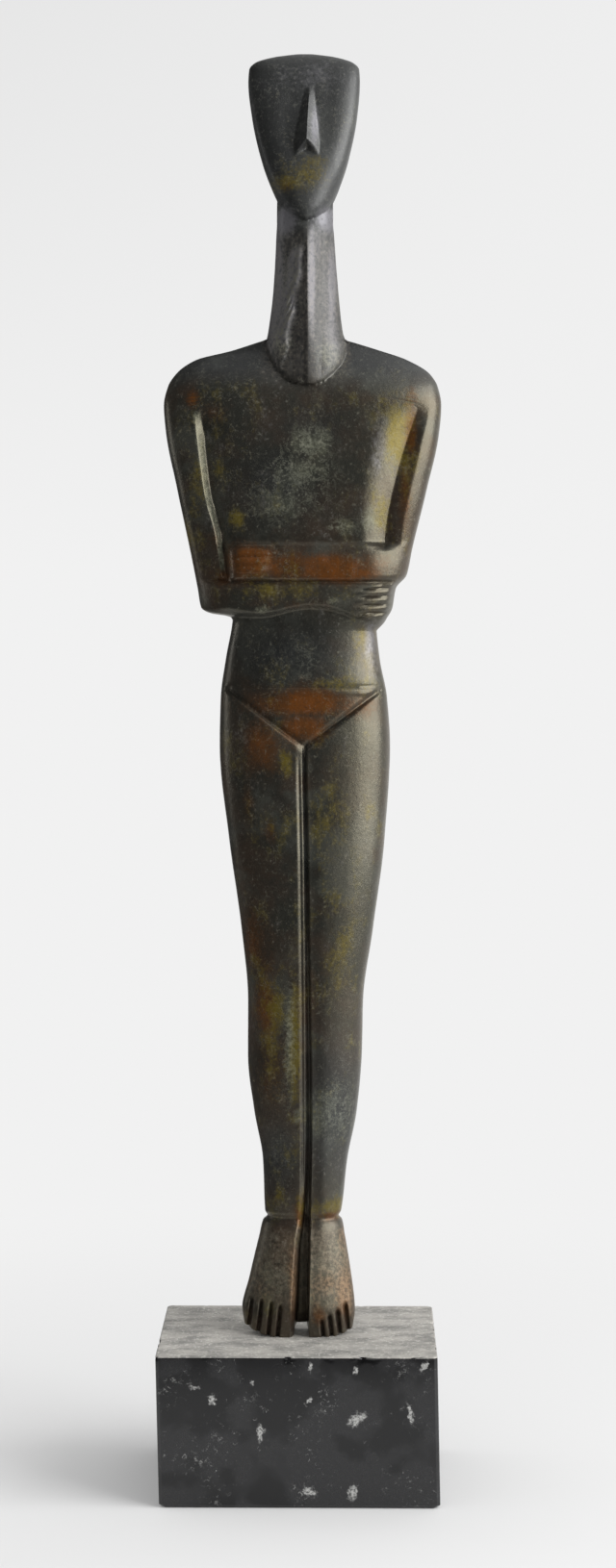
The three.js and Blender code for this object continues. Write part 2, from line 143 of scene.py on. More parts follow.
legs = mass([
    (0, -4.6, 3.95, -2.4, 0.75, 2, 2.2), (1.6, -4.76, 4.14, -2.55, 1.02, 2, 2.2),
    (4.4, -4.2, 3.87, -2.35, 2.3, 2.1, 2.2), (7.6, -3.45, 3.33, -1.85, 3.2, 2.3, 2.2),
    (8.8, -3.15, 3.12, -1.52, 2.9, 2.3, 2.2), (9.15, -2.8, 2.85, -1.3, 2.6, 2.3, 2.2),
    (9.6, -3, 3.05, -1.42, 2.65, 2.4, 2.2), (13.7, -3.16, 3.53, -1.68, 2.95, 2.4, 2.2),
    (17.5, -3.84, 4.26, -2.08, 3.28, 2.4, 2.2), (22, -4.33, 4.66, -2.6, 3.38, 2.4, 2.2),
    (26.5, -4.3, 4.76, -3.06, 2.83, 2.5, 2.3), (32, -4.78, 5.5, -3.5, 2.95, 2.5, 2.3),
    (39, -5.74, 6.4, -3.82, 3.48, 2.5, 2.4), (46.5, -6.5, 6.84, -3.81, 3.95, 2.5, 2.4),
    (50.2, -6.4, 6.6, -3.53, 3.35, 2.5, 2.4), (53.2, -6, 6.02, -3.12, 2.8, 2.5, 2.4),
    (56.3, -5.46, 5.72, -3.1, 2.6, 2.6, 2.5), (60, -5.3, 5.6, -3, 2.5, 2.6, 2.5),
])
torso = mass([
    (55.4, -5.2, 5.75, -2.8, 2.3, 2.6, 2.4), (56.1, -5.4, 6.4, -3.1, 2.55, 2.7, 2.5),
    (56.5, -5.65, 6.63, -3.16, 2.6, 2.8, 2.6), (56.78, -7.25, 6.82, -3.2, 2.62, 2.8, 2.7),
    (57.2, -7.9, 7, -3.24, 2.63, 2.9, 2.8), (58.7, -8.17, 7.27, -3.38, 2.66, 3, 3),
    (59.75, -8.37, 8.1, -3.43, 2.7, 3, 3), (61.8, -8.77, 8.53, -3.52, 2.75, 3.1, 3),
    (66.3, -9.72, 9.63, -3.72, 2.92, 3.3, 3), (70.8, -10.6, 10.6, -3.58, 2.87, 3.2, 2.9),
    (72.9, -10.76, 10.76, -3.22, 2.6, 3, 2.8), (74.2, -10.5, 10.53, -2.8, 2.3, 2.8, 2.6),
    (75.3, -9.82, 9.85, -2.15, 1.95, 2.6, 2.5), (76.4, -8.25, 8.05, -1.3, 1.5, 2.4, 2.4),
    (77.1, -5.5, 6, -0.78, 1.2, 2.3, 2.3), (77.9, -3, 3.4, -0.3, 0.8, 2.2, 2.2),
])
neck = mass([
    (74.35, -0.1, 0.85, -2.98, 1.9, 5, 2), (74.75, -1.35, 1.95, -2.97, 1.93, 4.5, 2),
    (75.3, -1.95, 2.55, -2.95, 1.95, 3.6, 2), (76.3, -2.55, 3.25, -2.9, 2, 2.5, 2),
    (77.5, -2.85, 3.45, -2.82, 2.05, 1.9, 2), (78.4, -2.7, 3.15, -2.73, 2.05, 1.7, 2),
    (81, -2.34, 2.84, -2.52, 2.05, 1.5, 2), (84.1, -2.12, 2.58, -2.29, 2.02, 1.45, 2),
    (85.8, -2.04, 2.46, -2.2, 2.03, 1.5, 2), (87, -1.98, 2.36, -2.12, 2.05, 2.1, 2),
    (89.6, -1.95, 2.35, -2.1, 2.2, 2.2, 2),
])
head = mass([
    (87, 0.05, 0.5, -2.5, 1.4, 2, 2), (87.25, -0.75, 1.3, -2.8, 1.5, 2, 2),
    (88, -1.6, 2.1, -3.08, 1.75, 2.2, 2), (89.3, -2.3, 2.75, -3.1, 2.2, 2.5, 2.1),
    (91.5, -3.12, 3.5, -2.75, 2.6, 3.6, 2.3), (95, -3.92, 4.2, -1.85, 3.05, 4.4, 2.4),
    (97.8, -4.21, 4.44, -1, 3.15, 4.4, 2.4), (98.8, -4.15, 4.38, -0.55, 2.95, 4, 2.4),
    (99.3, -3.75, 3.95, -0.2, 2.65, 3.4, 2.4), (99.75, -2.45, 2.65, 0.3, 2.1, 3, 2.4),
    (100, -0.6, 0.9, 0.8, 1.3, 3, 2.4),
])
masses = [legs, torso, neck, head]
centre_line = curve([
    (0, -0.1), (7.2, 0.12), (12, 0.38), (17, 0.46), (37, 0.32), (46.7, 0.17), (66, 0.2), (76, 0.37),
    (92.8, 0.36), (97, 0.55),
])
shoulders = (torso["right"](72.9) - torso["left"](72.9)) * unit
print(f"{len(masses)} masses, shoulders {shoulders * 1000:.0f} mm wide")

# %% [markdown]
# ## The carving
# The model for the casting was carved, so every line on it is a cut with two walls. Each function below
# gives how far the surface is set out, or in where it is below zero, in hundredths of the height. The head
# first: a wedge of a nose with two flat facets that ends in a chevron. The neck has a keel down its front,
# crisp under the jaw and soft at the collar, and beside it the ragged scar of a flaw in the casting.

# %% The face and the neck
def face_carving(x, z):
    across = np.abs(x - centre_line(z))
    down = np.clip((97.3 - z) / (97.3 - 93), 0, 1)
    half = between(0.3, 0.95, down)
    tip = 93 - 0.75 * np.minimum(across / half, 1)
    under = np.clip((z - tip + 0.55) / 0.55, 0, 1)
    ridge = 1.05 * down ** 0.85 * under
    hollow = 0.05 * bell(across - 1.5, 0.7) * within(z, 92.2, 97.3, 1.2)
    return ridge * np.maximum(0, 1 - across / half) ** 0.9 - hollow


def scar_line(z):
    # Where the scar runs, measured from the keel
    return -0.72 - 0.17 * (84.5 - z) + 0.1 * np.sin(2.3 * z)


def keel_carving(x, z):
    across = x - centre_line(z)
    soft = between(0.4, 0.02, ramp(z, 76, 81))  # rounds the keel's edge near the collar
    keel = 0.36 * np.maximum(0, 1 - np.hypot(across, soft) / 1.2)
    off_ridge = across - scar_line(z)
    ragged = 0.5 + 0.5 * np.sin(13 * z + 9 * x) * np.sin(5.3 * z - 7 * x)
    ridge = 0.3 * ragged * bell(off_ridge, 0.5) * within(z, 77.5, 84.8, 0.8)
    torn = 0.12 * np.sin(11 * z) * np.sin(3.1 * z)
    hollow = 0.2 * within(across, scar_line(z) + 0.35 + torn, -0.1, 0.2)
    return (keel + ridge - hollow) * within(z, 74.5, 86, 0.5)


# %% [markdown]
# The deep lines between the upper arms and the chest have a steep wall on the arm's side and a soft roll on
# the chest's side. That asymmetry is what makes one side of the line catch the light and the other go dark.

# %% The arms
left_line = curve([(59.5, -5.78), (63.2, -6.3), (65.8, -6.96), (71.8, -7.69)])
left_wall = curve([(59.5, 0.4), (72, 0.62)])
left_roll = curve([(59.5, 0.9), (65, 2), (72, 2.2)])
right_line = curve([(62.6, 6.38), (63.9, 6.53), (67.9, 7.41), (72.7, 8.95)])
right_wall = curve([(62.6, 1.3), (67.9, 1.3), (70.2, 1.1), (73, 0.95)])
right_roll = curve([(62, 1.6), (68, 2.4), (73, 2.6)])


def arm_carving(x, z, line, wall, roll, side, foot, top, depth):
    beyond = (x - line(z)) * side
    on_arm = 1 - np.clip(beyond / wall(z), 0, 1)
    on_chest = (1 - np.clip(-beyond / roll(z), 0, 1)) ** 1.5
    ends = ramp(z, foot - 0.4, foot + 0.4) * (1 - ramp(z, top - 2.2, top + 1.2))
    return -depth * np.where(beyond > 0, on_arm, on_chest) * ends


def both_arms(x, z):
    left = arm_carving(x, z, left_line, left_wall, left_roll, -1, 59.4, 72.2, 0.66)
    right = arm_carving(x, z, right_line, right_wall, right_roll, 1, 61.9, 72.6, 0.68)
    return left + right


# %% [markdown]
# The forearms lie one above the other with a deep fold between them. Four cuts part the fingers of each
# hand. The cuts of the lower hand rise a little towards the elbow, because that hand wraps round the side.

# %% The forearms and hands
forearm_foot = curve([(-5.6, 56.75), (-3.5, 56.42), (0.6, 57.09), (1.9, 57), (4.2, 56.28), (6, 55.85)])


def forearm_carving(x, z):
    foot = forearm_foot(x)
    upper = between(0.45, 1, ramp(z, 62.3, 60.3)) * ramp(z, 62.4, 61.95)
    upper = upper * ramp(x, -6.3, -5.2) * (1 - ramp(x, 5, 9.5))
    lower = between(0.5, 0.9, ramp(z, foot, 59.23)) * ramp(z, foot - 0.05, foot + 0.5)
    lower = lower * ramp(x, -8.2, -5.5) * (1 - ramp(x, 7, 7.6))
    cut = 0.32 * bell(z - 59.23, 0.2) * ramp(x, -7.2, -6) * (1 - ramp(x, 6.6, 8.2))
    return 0.8 * between(lower, upper, ramp(z, 59.08, 59.38)) - cut


def hand_carving(x, z, tips, wrist, first, pitch, depth, rise, climb):
    inward = np.sign(wrist - tips)
    fade = ramp((x - tips) * inward, -0.3, 0.9) * ramp((wrist - x) * inward, -0.4, 0.7)
    height = z - climb * (x - wrist)
    back_of_hand = rise * within(height, first - 3.5 * pitch, first + pitch / 2, 0.2)
    cuts = sum(bell(height - (first - n * pitch), 0.13) for n in range(4))
    return (back_of_hand - depth * cuts) * fade


def both_hands(x, z):
    upper = hand_carving(x, z, -5.75, -2.6, 61.85, 0.68, 0.14, 0.14, 0)
    lower = hand_carving(x, z, 7.4, 4.3, 58.6, 0.62, 0.24, 0.1, 0.07)
    wrist = 0.1 * bell(x + 2.05 + 0.9 * (z - 61.95), 0.12) * within(z, 61.4, 62.4, 0.2)
    return upper + lower - wrist


# %% [markdown]
# Below the waist there are a belt line, a sunk triangle between two slanting cuts, and the long cleft that
# parts the legs. On the real figure the left leg has a broad bevel into the cleft and the right leg a sharp
# edge, so the two sides differ here too.

# %% The fork, the cleft and the feet
fork_slope = (50.95 - 46.7) / (6 - 0.2)


def fork_carving(x, z):
    across = np.abs(x - centre_line(z))
    off_cut = (z - 46.7 - (across - 0.2) * fork_slope) / math.hypot(1, fork_slope)
    cuts = 0.3 * bell(off_cut, 0.2) * (1 - ramp(z, 50.85, 51.15))
    triangle = 0.12 * ramp(off_cut, 0, 0.3) * (1 - ramp(z, 50.4, 50.6))
    belt = 0.16 * bell(z - 51.15, 0.13)
    return -cuts - (triangle + belt) * (1 - ramp(across, 5.7, 6.2))


cleft_depth = curve([
    (0, 2.6), (6, 2.1), (9.5, 0.95), (14, 0.62), (20, 0.5), (27, 0.42), (40, 0.42), (45.5, 0.4), (46.9, 0),
])
cleft_left = curve([(0, -0.45), (7.2, -0.36), (9, -0.2), (12, -0.14), (46, -0.1)])
cleft_right = curve([(0, 0.5), (7.2, 0.38), (9, 0.3), (12, 0.2), (46, 0.14)])
bevel_width = curve([(0, 0.45), (8, 0.4), (12, 0.45), (20, 0.6), (46, 0.62)])


def cleft_carving(x, z):
    across = x - centre_line(z)
    bevel = np.clip((across - cleft_left(z)) / bevel_width(z) + 1, 0, 1) ** 1.3
    wall = ramp(across, cleft_left(z) - 0.1, cleft_left(z) + 0.12)
    scored = 0.2 * bell(across - cleft_left(z) + 0.55 * bevel_width(z), 0.1) * within(z, 12, 45, 1.5)
    left = between(0.45 * bevel + scored, 1, wall)
    right = 1 - ramp(across, cleft_right(z) - 0.08, cleft_right(z) + 0.14)
    roll = 0.12 * bell(across - cleft_right(z) - 0.3, 0.5) * (across > 0)
    return -cleft_depth(z) * np.minimum(left, right) - roll * ramp(cleft_depth(z), 0.2, 0.6)


# Each cut between two toes: where it is at the sole, and how high it reaches
TOE_CUTS = [
    (-4.13, 3.1), (-3.37, 3.15), (-2.59, 3.05), (-1.86, 2.8), (3.5, 2.7), (2.85, 2.3), (2.2, 2), (1.55, 1.6),
]


def foot_carving(x, z):
    rise = 0.08 * within(z, 0, 8.6, 0.2)
    for place, top in TOE_CUTS:
        slant = 0.1 * (z - 1) * np.sign(place)
        rise = rise - 0.45 * bell(x - place + slant, 0.13) * (1 - ramp(z, top - 0.6, top))
    return rise


def back_carving(x, z):
    across = np.abs(x - centre_line(z))
    spine = 0.28 * bell(across, 0.45) * within(z, 51, 73, 1.5)
    arms = 0.3 * bell(across - 6.2 - (z - 60) * 0.14, 0.45) * within(z, 59, 71, 1.5)
    return -spine - arms - 0.75 * bell(across, 0.45) * within(z, 1, 47.5, 1.2)


def front_carving(x, z):
    body = both_arms(x, z) + forearm_carving(x, z) + both_hands(x, z)
    body = body + fork_carving(x, z) + cleft_carving(x, z) + foot_carving(x, z)
    return np.where(z > 88.6, face_carving(x, z), np.where(z > 74.35, keel_carving(x, z), body))


# %% [markdown]
# ## The skin
# At each place the surface is the foremost, or on the back the hindmost, of the masses there, with a small
# fillet where two of them meet, and the carving on top. The outer toes lift clear of the block.

# %% Depth of the surface
FILLET = 0.3


def fullness(m, x, z, squareness):
    half = (m["right"](z) - m["left"](z)) / 2
    share = np.abs(x - (m["right"](z) + m["left"](z)) / 2) / half
    return np.where(share >= 1, 0, (1 - np.minimum(share, 1) ** squareness) ** (1 / squareness))


def depth_at(x, z, side):
    sign = -1 if side == "front" else 1
    depth = np.full_like(x, -99.0)
    inside = np.zeros_like(x)
    for m in masses:
        here = (z >= m["low"]) & (z <= m["high"])
        heart = (m["front"](z) + m["back"](z)) / 2
        full = fullness(m, x, z, m[side + "_square"](z))
        own = np.where(here, sign * between(heart, m[side](z), full), -99.0)
        depth = np.maximum(depth, own) + np.maximum(FILLET - np.abs(depth - own), 0) ** 2 / (4 * FILLET)
        inside = np.maximum(inside, np.where(here, fullness(m, x, z, 2), 0))
    carved = front_carving(x, z) if side == "front" else back_carving(x, z)
    return sign * (depth + carved * ramp(inside, 0.1, 0.4))


def lifted(x, z):
    across = x - centre_line(z)
    outward = np.clip((np.abs(x) - 1.9) / (4.7 - 1.9), 0, 1)
    near, far = cleft_left(z), cleft_right(z)
    web = ramp(across, near - 0.15, near) * (1 - ramp(across, far, far + 0.15))
    return z + (0.95 * outward ** 2 + 0.65 * web) * np.clip(1 - z / 6, 0, 1) ** 2


# %% [markdown]
# The skin is a grid: rings one above the other, each with columns of points round the body. The rings lie
# closer together where there is carving, and on each side a bundle of columns follows the lines inside the
# arms, the collar and the chin, so their edges stay crisp.

# %% Rings and columns
# From this height to that, and how many rings between them
RINGS = [
    (0, 3.2, 24), (3.2, 8.4, 15), (8.4, 10, 14), (10, 43, 64), (43, 46.6, 12), (46.6, 51.4, 32),
    (51.4, 55.4, 11), (55.4, 62.6, 60), (62.6, 71, 20), (71, 74.2, 12), (74.2, 78, 28),
    (78, 86.6, 22), (86.6, 89.4, 26), (89.4, 91.8, 10), (91.8, 97.6, 40), (97.6, 99, 8), (99, 100, 10),
]
heights = [np.linspace(low, high, count, endpoint=False) for low, high, count in RINGS]
heights = np.concatenate(heights + [[100]])
OUTER, BUNDLE, INNER, CENTRE, BACK = 24, 16, 28, 33, 56
bundle_half = curve([
    (0, 0.7), (40, 0.7), (45, 0.45), (52, 0.45), (62, 0.55), (72, 0.6), (75, 0.3), (88, 0.3), (92, 0.6),
    (100, 0.6),
])
centre_half = curve([
    (0, 1.1), (8, 1), (12, 0.9), (46, 0.9), (50, 1), (72, 1), (76, 0.9), (90, 0.9), (92, 1.3), (98, 1),
])


def guide(line, foot, top, side):
    edge = "left" if side < 0 else "right"
    follow = [(z, float(line(z))) for z in np.linspace(foot, top, 5)]
    follow += [(z, float(neck[edge](z))) for z in np.linspace(74.5, 77.5, 5)]
    follow += [(81, float(between(centre_line(81), neck[edge](81), 0.6)))]
    follow += [(z, float(head[edge](z))) for z in np.linspace(87.1, 89.3, 5)]
    follow = [(51.15, float(centre_line(51.15)) + side * 6)] + follow
    return curve(follow + [(100, 0.6 * float(head[edge](98)))])


guides = {-1: guide(left_line, 59.4, 72.2, -1), 1: guide(right_line, 61.9, 72.6, 1)}


def side_columns(z, edge, inner, side):
    fork_half = np.clip(0.2 + (z - 46.7) / fork_slope, 0.2, 6)
    slant = centre_line(z) + side * (fork_half + bundle_half(z))
    below = between((edge + inner) / 2, slant, ramp(z, 44, 46.7))
    wanted = between(below, guides[side](z), ramp(z, 50.75, 51.15))
    room = np.abs(edge - inner)
    half = np.minimum(bundle_half(z), 0.22 * room)
    heart = inner + side * np.clip((wanted - inner) * side, 1.25 * half, room - 1.4 * half)
    outer = between(edge, heart + side * half, (np.arange(OUTER) / OUTER) ** 2)
    bundle = heart + side * half * np.linspace(1, -1, BUNDLE)
    inward = between(heart - side * half, inner, (np.arange(INNER) + 1) / (INNER + 1))
    columns = np.concatenate([outer, bundle, inward], axis=1)
    even = between(edge, inner, (np.arange(columns.shape[1]) / columns.shape[1]) ** 1.3)
    return between(even, columns, ramp(z, 3, 6))


def column(values):
    return np.asarray(values)[:, None]


z = column(heights)
here = [(z >= m["low"]) & (z <= m["high"]) for m in masses]
left = np.min([np.where(h, m["left"](z), 99) for m, h in zip(masses, here)], axis=0)
right = np.max([np.where(h, m["right"](z), -99) for m, h in zip(masses, here)], axis=0)
reach = np.minimum(centre_half(z), (right - left) / 6.5)
heart = np.clip(centre_line(z), between(left, right, 0.4), between(left, right, 0.6))
centre = heart + reach * np.linspace(-1, 1, CENTRE)
front_x = np.concatenate([
    side_columns(z, left, centre[:, :1], -1), centre, side_columns(z, right, centre[:, -1:], 1)[:, ::-1],
], axis=1)
turns = np.linspace(0, math.pi, BACK + 2)[1:-1]
back_x = (left + right) / 2 + (right - left) / 2 * np.cos(turns)
print(f"{len(heights)} rings of {front_x.shape[1] + back_x.shape[1]} columns")

# %% [markdown]
# Now every point of the grid gets its depth, and the quads between the rings close the body. The lids over
# the crown and under the soles are zipped together from left to right between the front and the back.

# %% The grid of the figure
front_z = np.broadcast_to(z, front_x.shape)
back_z = np.broadcast_to(z, back_x.shape)
grid_x = np.concatenate([front_x, back_x], axis=1)
grid_y = np.concatenate([depth_at(front_x, front_z, "front"), depth_at(back_x, back_z, "back")], axis=1)
grid_z = np.concatenate([lifted(front_x, front_z), lifted(back_x, back_z)], axis=1)
rings, round_count = grid_x.shape
points = np.stack([grid_x, grid_y, grid_z], axis=-1).reshape(-1, 3)


def quads_between(ring_count, size):
    i = np.arange(size)
    ring = np.arange(ring_count - 1)[:, None] * size
    a, b = ring + i, ring + (i + 1) % size
    return np.stack([a, b, b + size, a + size], axis=-1).reshape(-1, 4).tolist()


def lid(ring, facing_up):
    start = ring * round_count
    front = [start + i for i in range(front_x.shape[1])]
    back = [front[0]] + [start + i for i in range(round_count - 1, front_x.shape[1] - 1, -1)] + [front[-1]]
    faces, i, j = [], 0, 0
    while i < len(front) - 1 or j < len(back) - 1:
        step_front = j == len(back) - 1 or (
            i < len(front) - 1 and points[front[i + 1], 0] <= points[back[j + 1], 0])
        after = front[i + 1] if step_front else back[j + 1]
        corners = [front[i], after, back[j]]
        if len(set(corners)) == 3:
            faces.append(corners if facing_up else corners[::-1])
        i, j = (i + 1, j) if step_front else (i, j + 1)
    return faces


faces = quads_between(rings, round_count) + lid(0, False) + lid(rings - 1, True)
place = points * unit + np.array([middle, 0, figure_low.z])
skin = bpy.data.meshes.new("bronze_figure")
skin.from_pydata(place.tolist(), [], faces)
skin.update()
print(f"{len(points)} points, {len(faces)} faces")

# %% [markdown]
# ## Where the patina changes
# A patina is uneven by nature: it is rubbed, fumed, waxed and handled. Each kind below is a list of soft
# spots on the front, from the crown down: x, height, half width, half height and strength, in hundredths of
# the figure's height. Rust is where the fire went furthest, ochre is a yellow patina that gathers at edges,
# crust is sand and verdigris that stayed in the skin, and cool is where the brown of the body is missing.
# Worn is metal rubbed nearly bare, and some of its spots are painted highlights: on the neck beside the keel
# and on its sides, on the nose's right facet, and on the right of the chest and the belly. Deep is painted
# shade: the creases, the hollows under the nose and the chin, the shaded side of the keel, and darker
# middles of the face, the chest, the belly and the shins. The back has none of them.

# %% Spots of patina
SPOTS = {
    "rust": [
        (-1.2, 89.5, 0.7, 0.6, 0.7), (-8.4, 73.3, 0.7, 0.9, 1), (8.4, 73.2, 0.6, 1.3, 0.8),
        (-7.1, 72.3, 1.8, 1.2, 0.5), (8.4, 70.6, 0.6, 2.6, 1.1), (7.9, 66.6, 0.6, 3.6, 0.8),
        (-6.6, 62.5, 0.6, 1.5, 0.5), (7.9, 61.4, 1, 1.5, 0.4), (-3.8, 60.8, 2.4, 1.5, 1.4),
        (0.8, 60.4, 5.8, 1.2, 1.3), (3, 60, 3.2, 1, 1.3), (4.9, 60, 1.6, 0.9, 1),
        (-6.1, 59.6, 1.2, 1.2, 0.8), (-1, 57.4, 4.5, 0.7, 0.3), (0.2, 49.9, 5.6, 1.4, 1.1),
        (0.2, 48, 2.6, 1.4, 1.1), (-3, 46.6, 1.8, 2.6, 0.95), (-4.2, 42.1, 0.7, 2.2, 0.45),
        (-2.5, 40.1, 0.7, 1.3, 0.7), (-3.9, 30.9, 1.2, 3.7, 0.75), (-2.8, 26.5, 1.3, 5, 0.85),
        (-2.5, 21.3, 1.4, 3.7, 0.5), (-0.2, 9.6, 0.5, 1.6, 0.9), (2.6, 9.4, 1.8, 0.6, 0.9),
        (3.3, 7.6, 0.5, 1.6, 0.7), (-0.7, 4.4, 0.5, 3.6, 0.9), (2, 4.2, 1.6, 1.2, 0.7),
        (-3.2, 3.8, 1.2, 1.2, 0.45), (3.3, 3.4, 0.9, 2.6, 1), (1.3, 1.8, 0.7, 1.1, 0.9),
    ],
    "ochre": [
        (0.9, 91.2, 1.2, 0.7, 0.65), (0.5, 90.3, 1.7, 1, 0.75), (-0.8, 89.7, 1.8, 0.8, 0.8),
        (7.4, 71, 0.9, 2.4, 1.3), (-6.2, 69.2, 1.3, 3, 0.2), (8, 68.5, 0.8, 4, 0.7),
        (-8, 66.5, 0.6, 5.5, 0.45), (6.2, 64.4, 0.7, 1.9, 0.8), (-5, 64.1, 0.7, 0.7, 1),
        (-8.7, 62.5, 0.7, 2.2, 0.6), (-1, 58.5, 4.5, 0.6, 0.5), (4.9, 55, 0.9, 1, 0.8),
        (5, 54, 1.2, 2, 0.5), (2.1, 51.4, 2.4, 0.5, 0.7), (-1.2, 45.3, 0.7, 1, 0.9),
        (2.3, 41.4, 1.5, 4.5, 0.45), (-3.6, 39.5, 0.6, 1, 0.6), (2.8, 30.9, 1.3, 5.2, 0.4),
        (-2.2, 24.5, 1.4, 5.5, 0.5), (-0.6, 23.4, 0.5, 6.4, 1), (-1.9, 11.2, 0.4, 0.7, 0.7),
        (-0.1, 10.4, 0.4, 1.3, 0.6), (2.3, 10.1, 1.8, 0.9, 1),
    ],
    "crust": [
        (0.8, 91, 1.2, 0.8, 0.3), (-0.1, 89.8, 1.8, 0.9, 0.5), (-0.6, 84.2, 0.4, 3, 0.5),
        (-2, 82, 0.7, 4.5, 0.5), (-2.2, 78.6, 0.7, 2, 0.6), (-1.7, 77.9, 1, 1.6, 0.9),
        (2, 76.7, 1.1, 1.8, 1), (1.2, 73.4, 1, 0.6, 0.5), (0.6, 69.8, 2.2, 1.6, 0.95),
        (7, 68.5, 0.9, 3.2, 0.5), (-0.1, 67.6, 3.2, 2, 0.75), (6.3, 66, 0.8, 2, 0.4),
        (-1, 65.2, 4.2, 1.8, 0.65), (5.3, 64, 1, 1.2, 0.9), (3, 63.4, 1.3, 0.7, 0.9),
        (2.3, 57.8, 0.6, 0.4, 0.7), (1.2, 57.4, 0.7, 0.6, 0.5), (-3.1, 57.1, 0.6, 0.4, 0.9),
        (0.3, 53.2, 3.6, 2, 0.4), (-0.9, 23.6, 0.6, 5.6, 1), (3.2, 23.5, 1.5, 2.5, 0.3),
        (2.4, 17.6, 2.8, 2.8, 0.8), (-0.4, 17.5, 0.4, 0.4, 1), (-2.2, 16, 1.3, 4, 0.3),
        (2, 15.4, 1, 2.2, 0.4), (2.3, 5.2, 2.2, 3.3, 0.75), (-2.2, 5.1, 2.4, 3.3, 0.55),
    ],
    # Some of these spots are painted highlights: beside the neck's keel and on its sides, the nose's right
    # facet, the right of the chest and the belly; the rest are metal rubbed nearly bare
    "worn and highlight": [
        (0.3, 98.2, 3.8, 1.6, 0.4), (1, 94.2, 0.35, 1.6, 1.2), (2, 87, 1, 1, 1.4), (-1.5, 86.9, 1, 1, 1.4),
        (1.2, 84.9, 0.6, 1.5, 0.6), (0.75, 82.6, 0.3, 4.2, 1.3), (1.8, 82.4, 1, 5.6, 0.4),
        (-2.1, 82.4, 0.7, 5, 1.2), (2.3, 82, 0.4, 4, 1.2), (-2.3, 78.6, 0.8, 2, 0.8),
        (2.3, 78, 0.7, 2.2, 0.8), (6, 69.2, 0.6, 3.7, 0.5), (5.3, 53.8, 0.7, 2.6, 0.7),
    ],
    # These spots are painted shade: creases, hollows under the nose and the chin, the keel's shaded side
    "shade spots": [
        (2.6, 95, 1.4, 3.2, 0.8), (-2, 94.8, 1.8, 4, 0.8), (0.4, 92.4, 0.7, 0.5, 1),
        (0.2, 89.6, 2.2, 1.6, 0.9), (0.15, 85, 0.35, 1.3, 1), (-0.6, 82.6, 0.6, 4.2, 1),
        (-0.5, 78.2, 1.1, 2.2, 0.9), (-3.6, 67, 1.8, 2.6, 0.6), (2.8, 65.8, 1.2, 2, 0.5),
        (-3.2, 64, 2.6, 1.2, 0.6), (0.3, 62.6, 5, 0.4, 0.7), (-1.4, 53.6, 4.2, 2.6, 1.2),
        (2.6, 17.5, 2, 5, 0.6), (-1.6, 14, 0.5, 2, 0.3),
    ],
    "cool": [
        (0.5, 71, 2.5, 2, 0.6), (-2, 66.5, 3, 2.6, 0.8), (-1, 53.6, 4.2, 2.2, 1), (2.4, 17.5, 2.6, 5.5, 1),
        (-2, 14, 1.6, 3, 0.8),
    ],
}
print(f"{sum(len(s) for s in SPOTS.values())} spots of {len(SPOTS)} kinds")

# %% [markdown]
# The skin stores them as attributes, one number for each point, which the metal's finish reads. The crust
# also follows the arm's wall in the left line and the scar on the neck. Two more attributes say where the
# skin is rough, on the feet and a little on the neck, and where the metal is warm, which is below the neck.

# %% From spots to attributes
facing = np.concatenate([np.ones_like(front_x), np.zeros_like(back_x)], axis=1).ravel()
flat_x, flat_z = grid_x.ravel(), np.concatenate([front_z, back_z], axis=1).ravel()


def store(name, values):
    layer = skin.attributes.new(name, "FLOAT", "POINT")
    layer.data.foreach_set("value", np.clip(values, 0, 1).astype(np.float32))


scar = bell(flat_x - centre_line(flat_z) - scar_line(flat_z), 0.6) * within(flat_z, 77.5, 84.8, 0.8)
for kind, spots in SPOTS.items():
    weight = np.zeros_like(flat_x)
    for x0, z0, wide, high, strength in spots:
        near = strength * np.exp(-(((flat_x - x0) / wide) ** 2) - ((flat_z - z0) / high) ** 2)
        weight = np.maximum(weight, near)
    if kind == "crust":
        off = (left_line(flat_z) - flat_x) / left_wall(flat_z)
        wall = within(off, 0.1, 1.1, 0.15) * within(flat_z, 60, 72.4, 0.4)
        weight = np.maximum(weight, np.maximum(0.85 * wall, scar))
    # The scar's bright line here is a painted glint
    if kind == "worn and highlight":
        weight = np.maximum(weight, 1.3 * scar)
    store(kind, weight * facing)
on_foot = (1 - ramp(flat_z, 7.8, 8.8)) * between(0.15, 1, ramp(flat_z, 1.8, 3.4))
rough = on_foot * between(0.4, 0.72, ramp(flat_x, 0, 1))
rough = rough + 0.3 * within(flat_z, 75, 86, 1) * (np.abs(flat_x - 0.3) < 3.4) * facing
store("rough", rough)
store("warm", 1 - ramp(flat_z, 73, 76))
print("stored:", ", ".join([*SPOTS, "rough", "warm"]))

# %% [markdown]
# ## The skin of a casting
# Node trees make the casting's skin, the chipped edge and every finish. A tree is built here as a list of
# nodes, so one small function adds a node, sets its fields, and fills or links its sockets. A node that is
# given where a socket is wanted stands for its first output.

# %% One small function to add a node
def add_node(tree, kind, links=None, **settings):
    node = tree.nodes.new(kind)
    for key, value in settings.items():
        setattr(node, key, value)
    for key, value in (links or {}).items():
        if isinstance(value, bpy.types.Node):
            value = value.outputs[0]
        if isinstance(value, bpy.types.NodeSocket):
            tree.links.new(value, node.inputs[key])
        else:
            node.inputs[key].default_value = value
    return node


# %% [markdown]
# Wax and sand leave a cast surface slightly wavy, with a fine grain where it is rough, and small pits where
# sand stuck in the crust. All three follow one rule over the whole surface, so Geometry Nodes make them:
# each point is moved a little along its normal. The sizes are named inputs in metres, and the grain and the
# pits are drawn coarser than real ones, so that the mesh can hold them. More than the noises' middle is
# taken off them, so that the skin moves in rather than out and stays inside the solid's box. A noise is a
# fixed function of place, so the pattern is the same at every run.

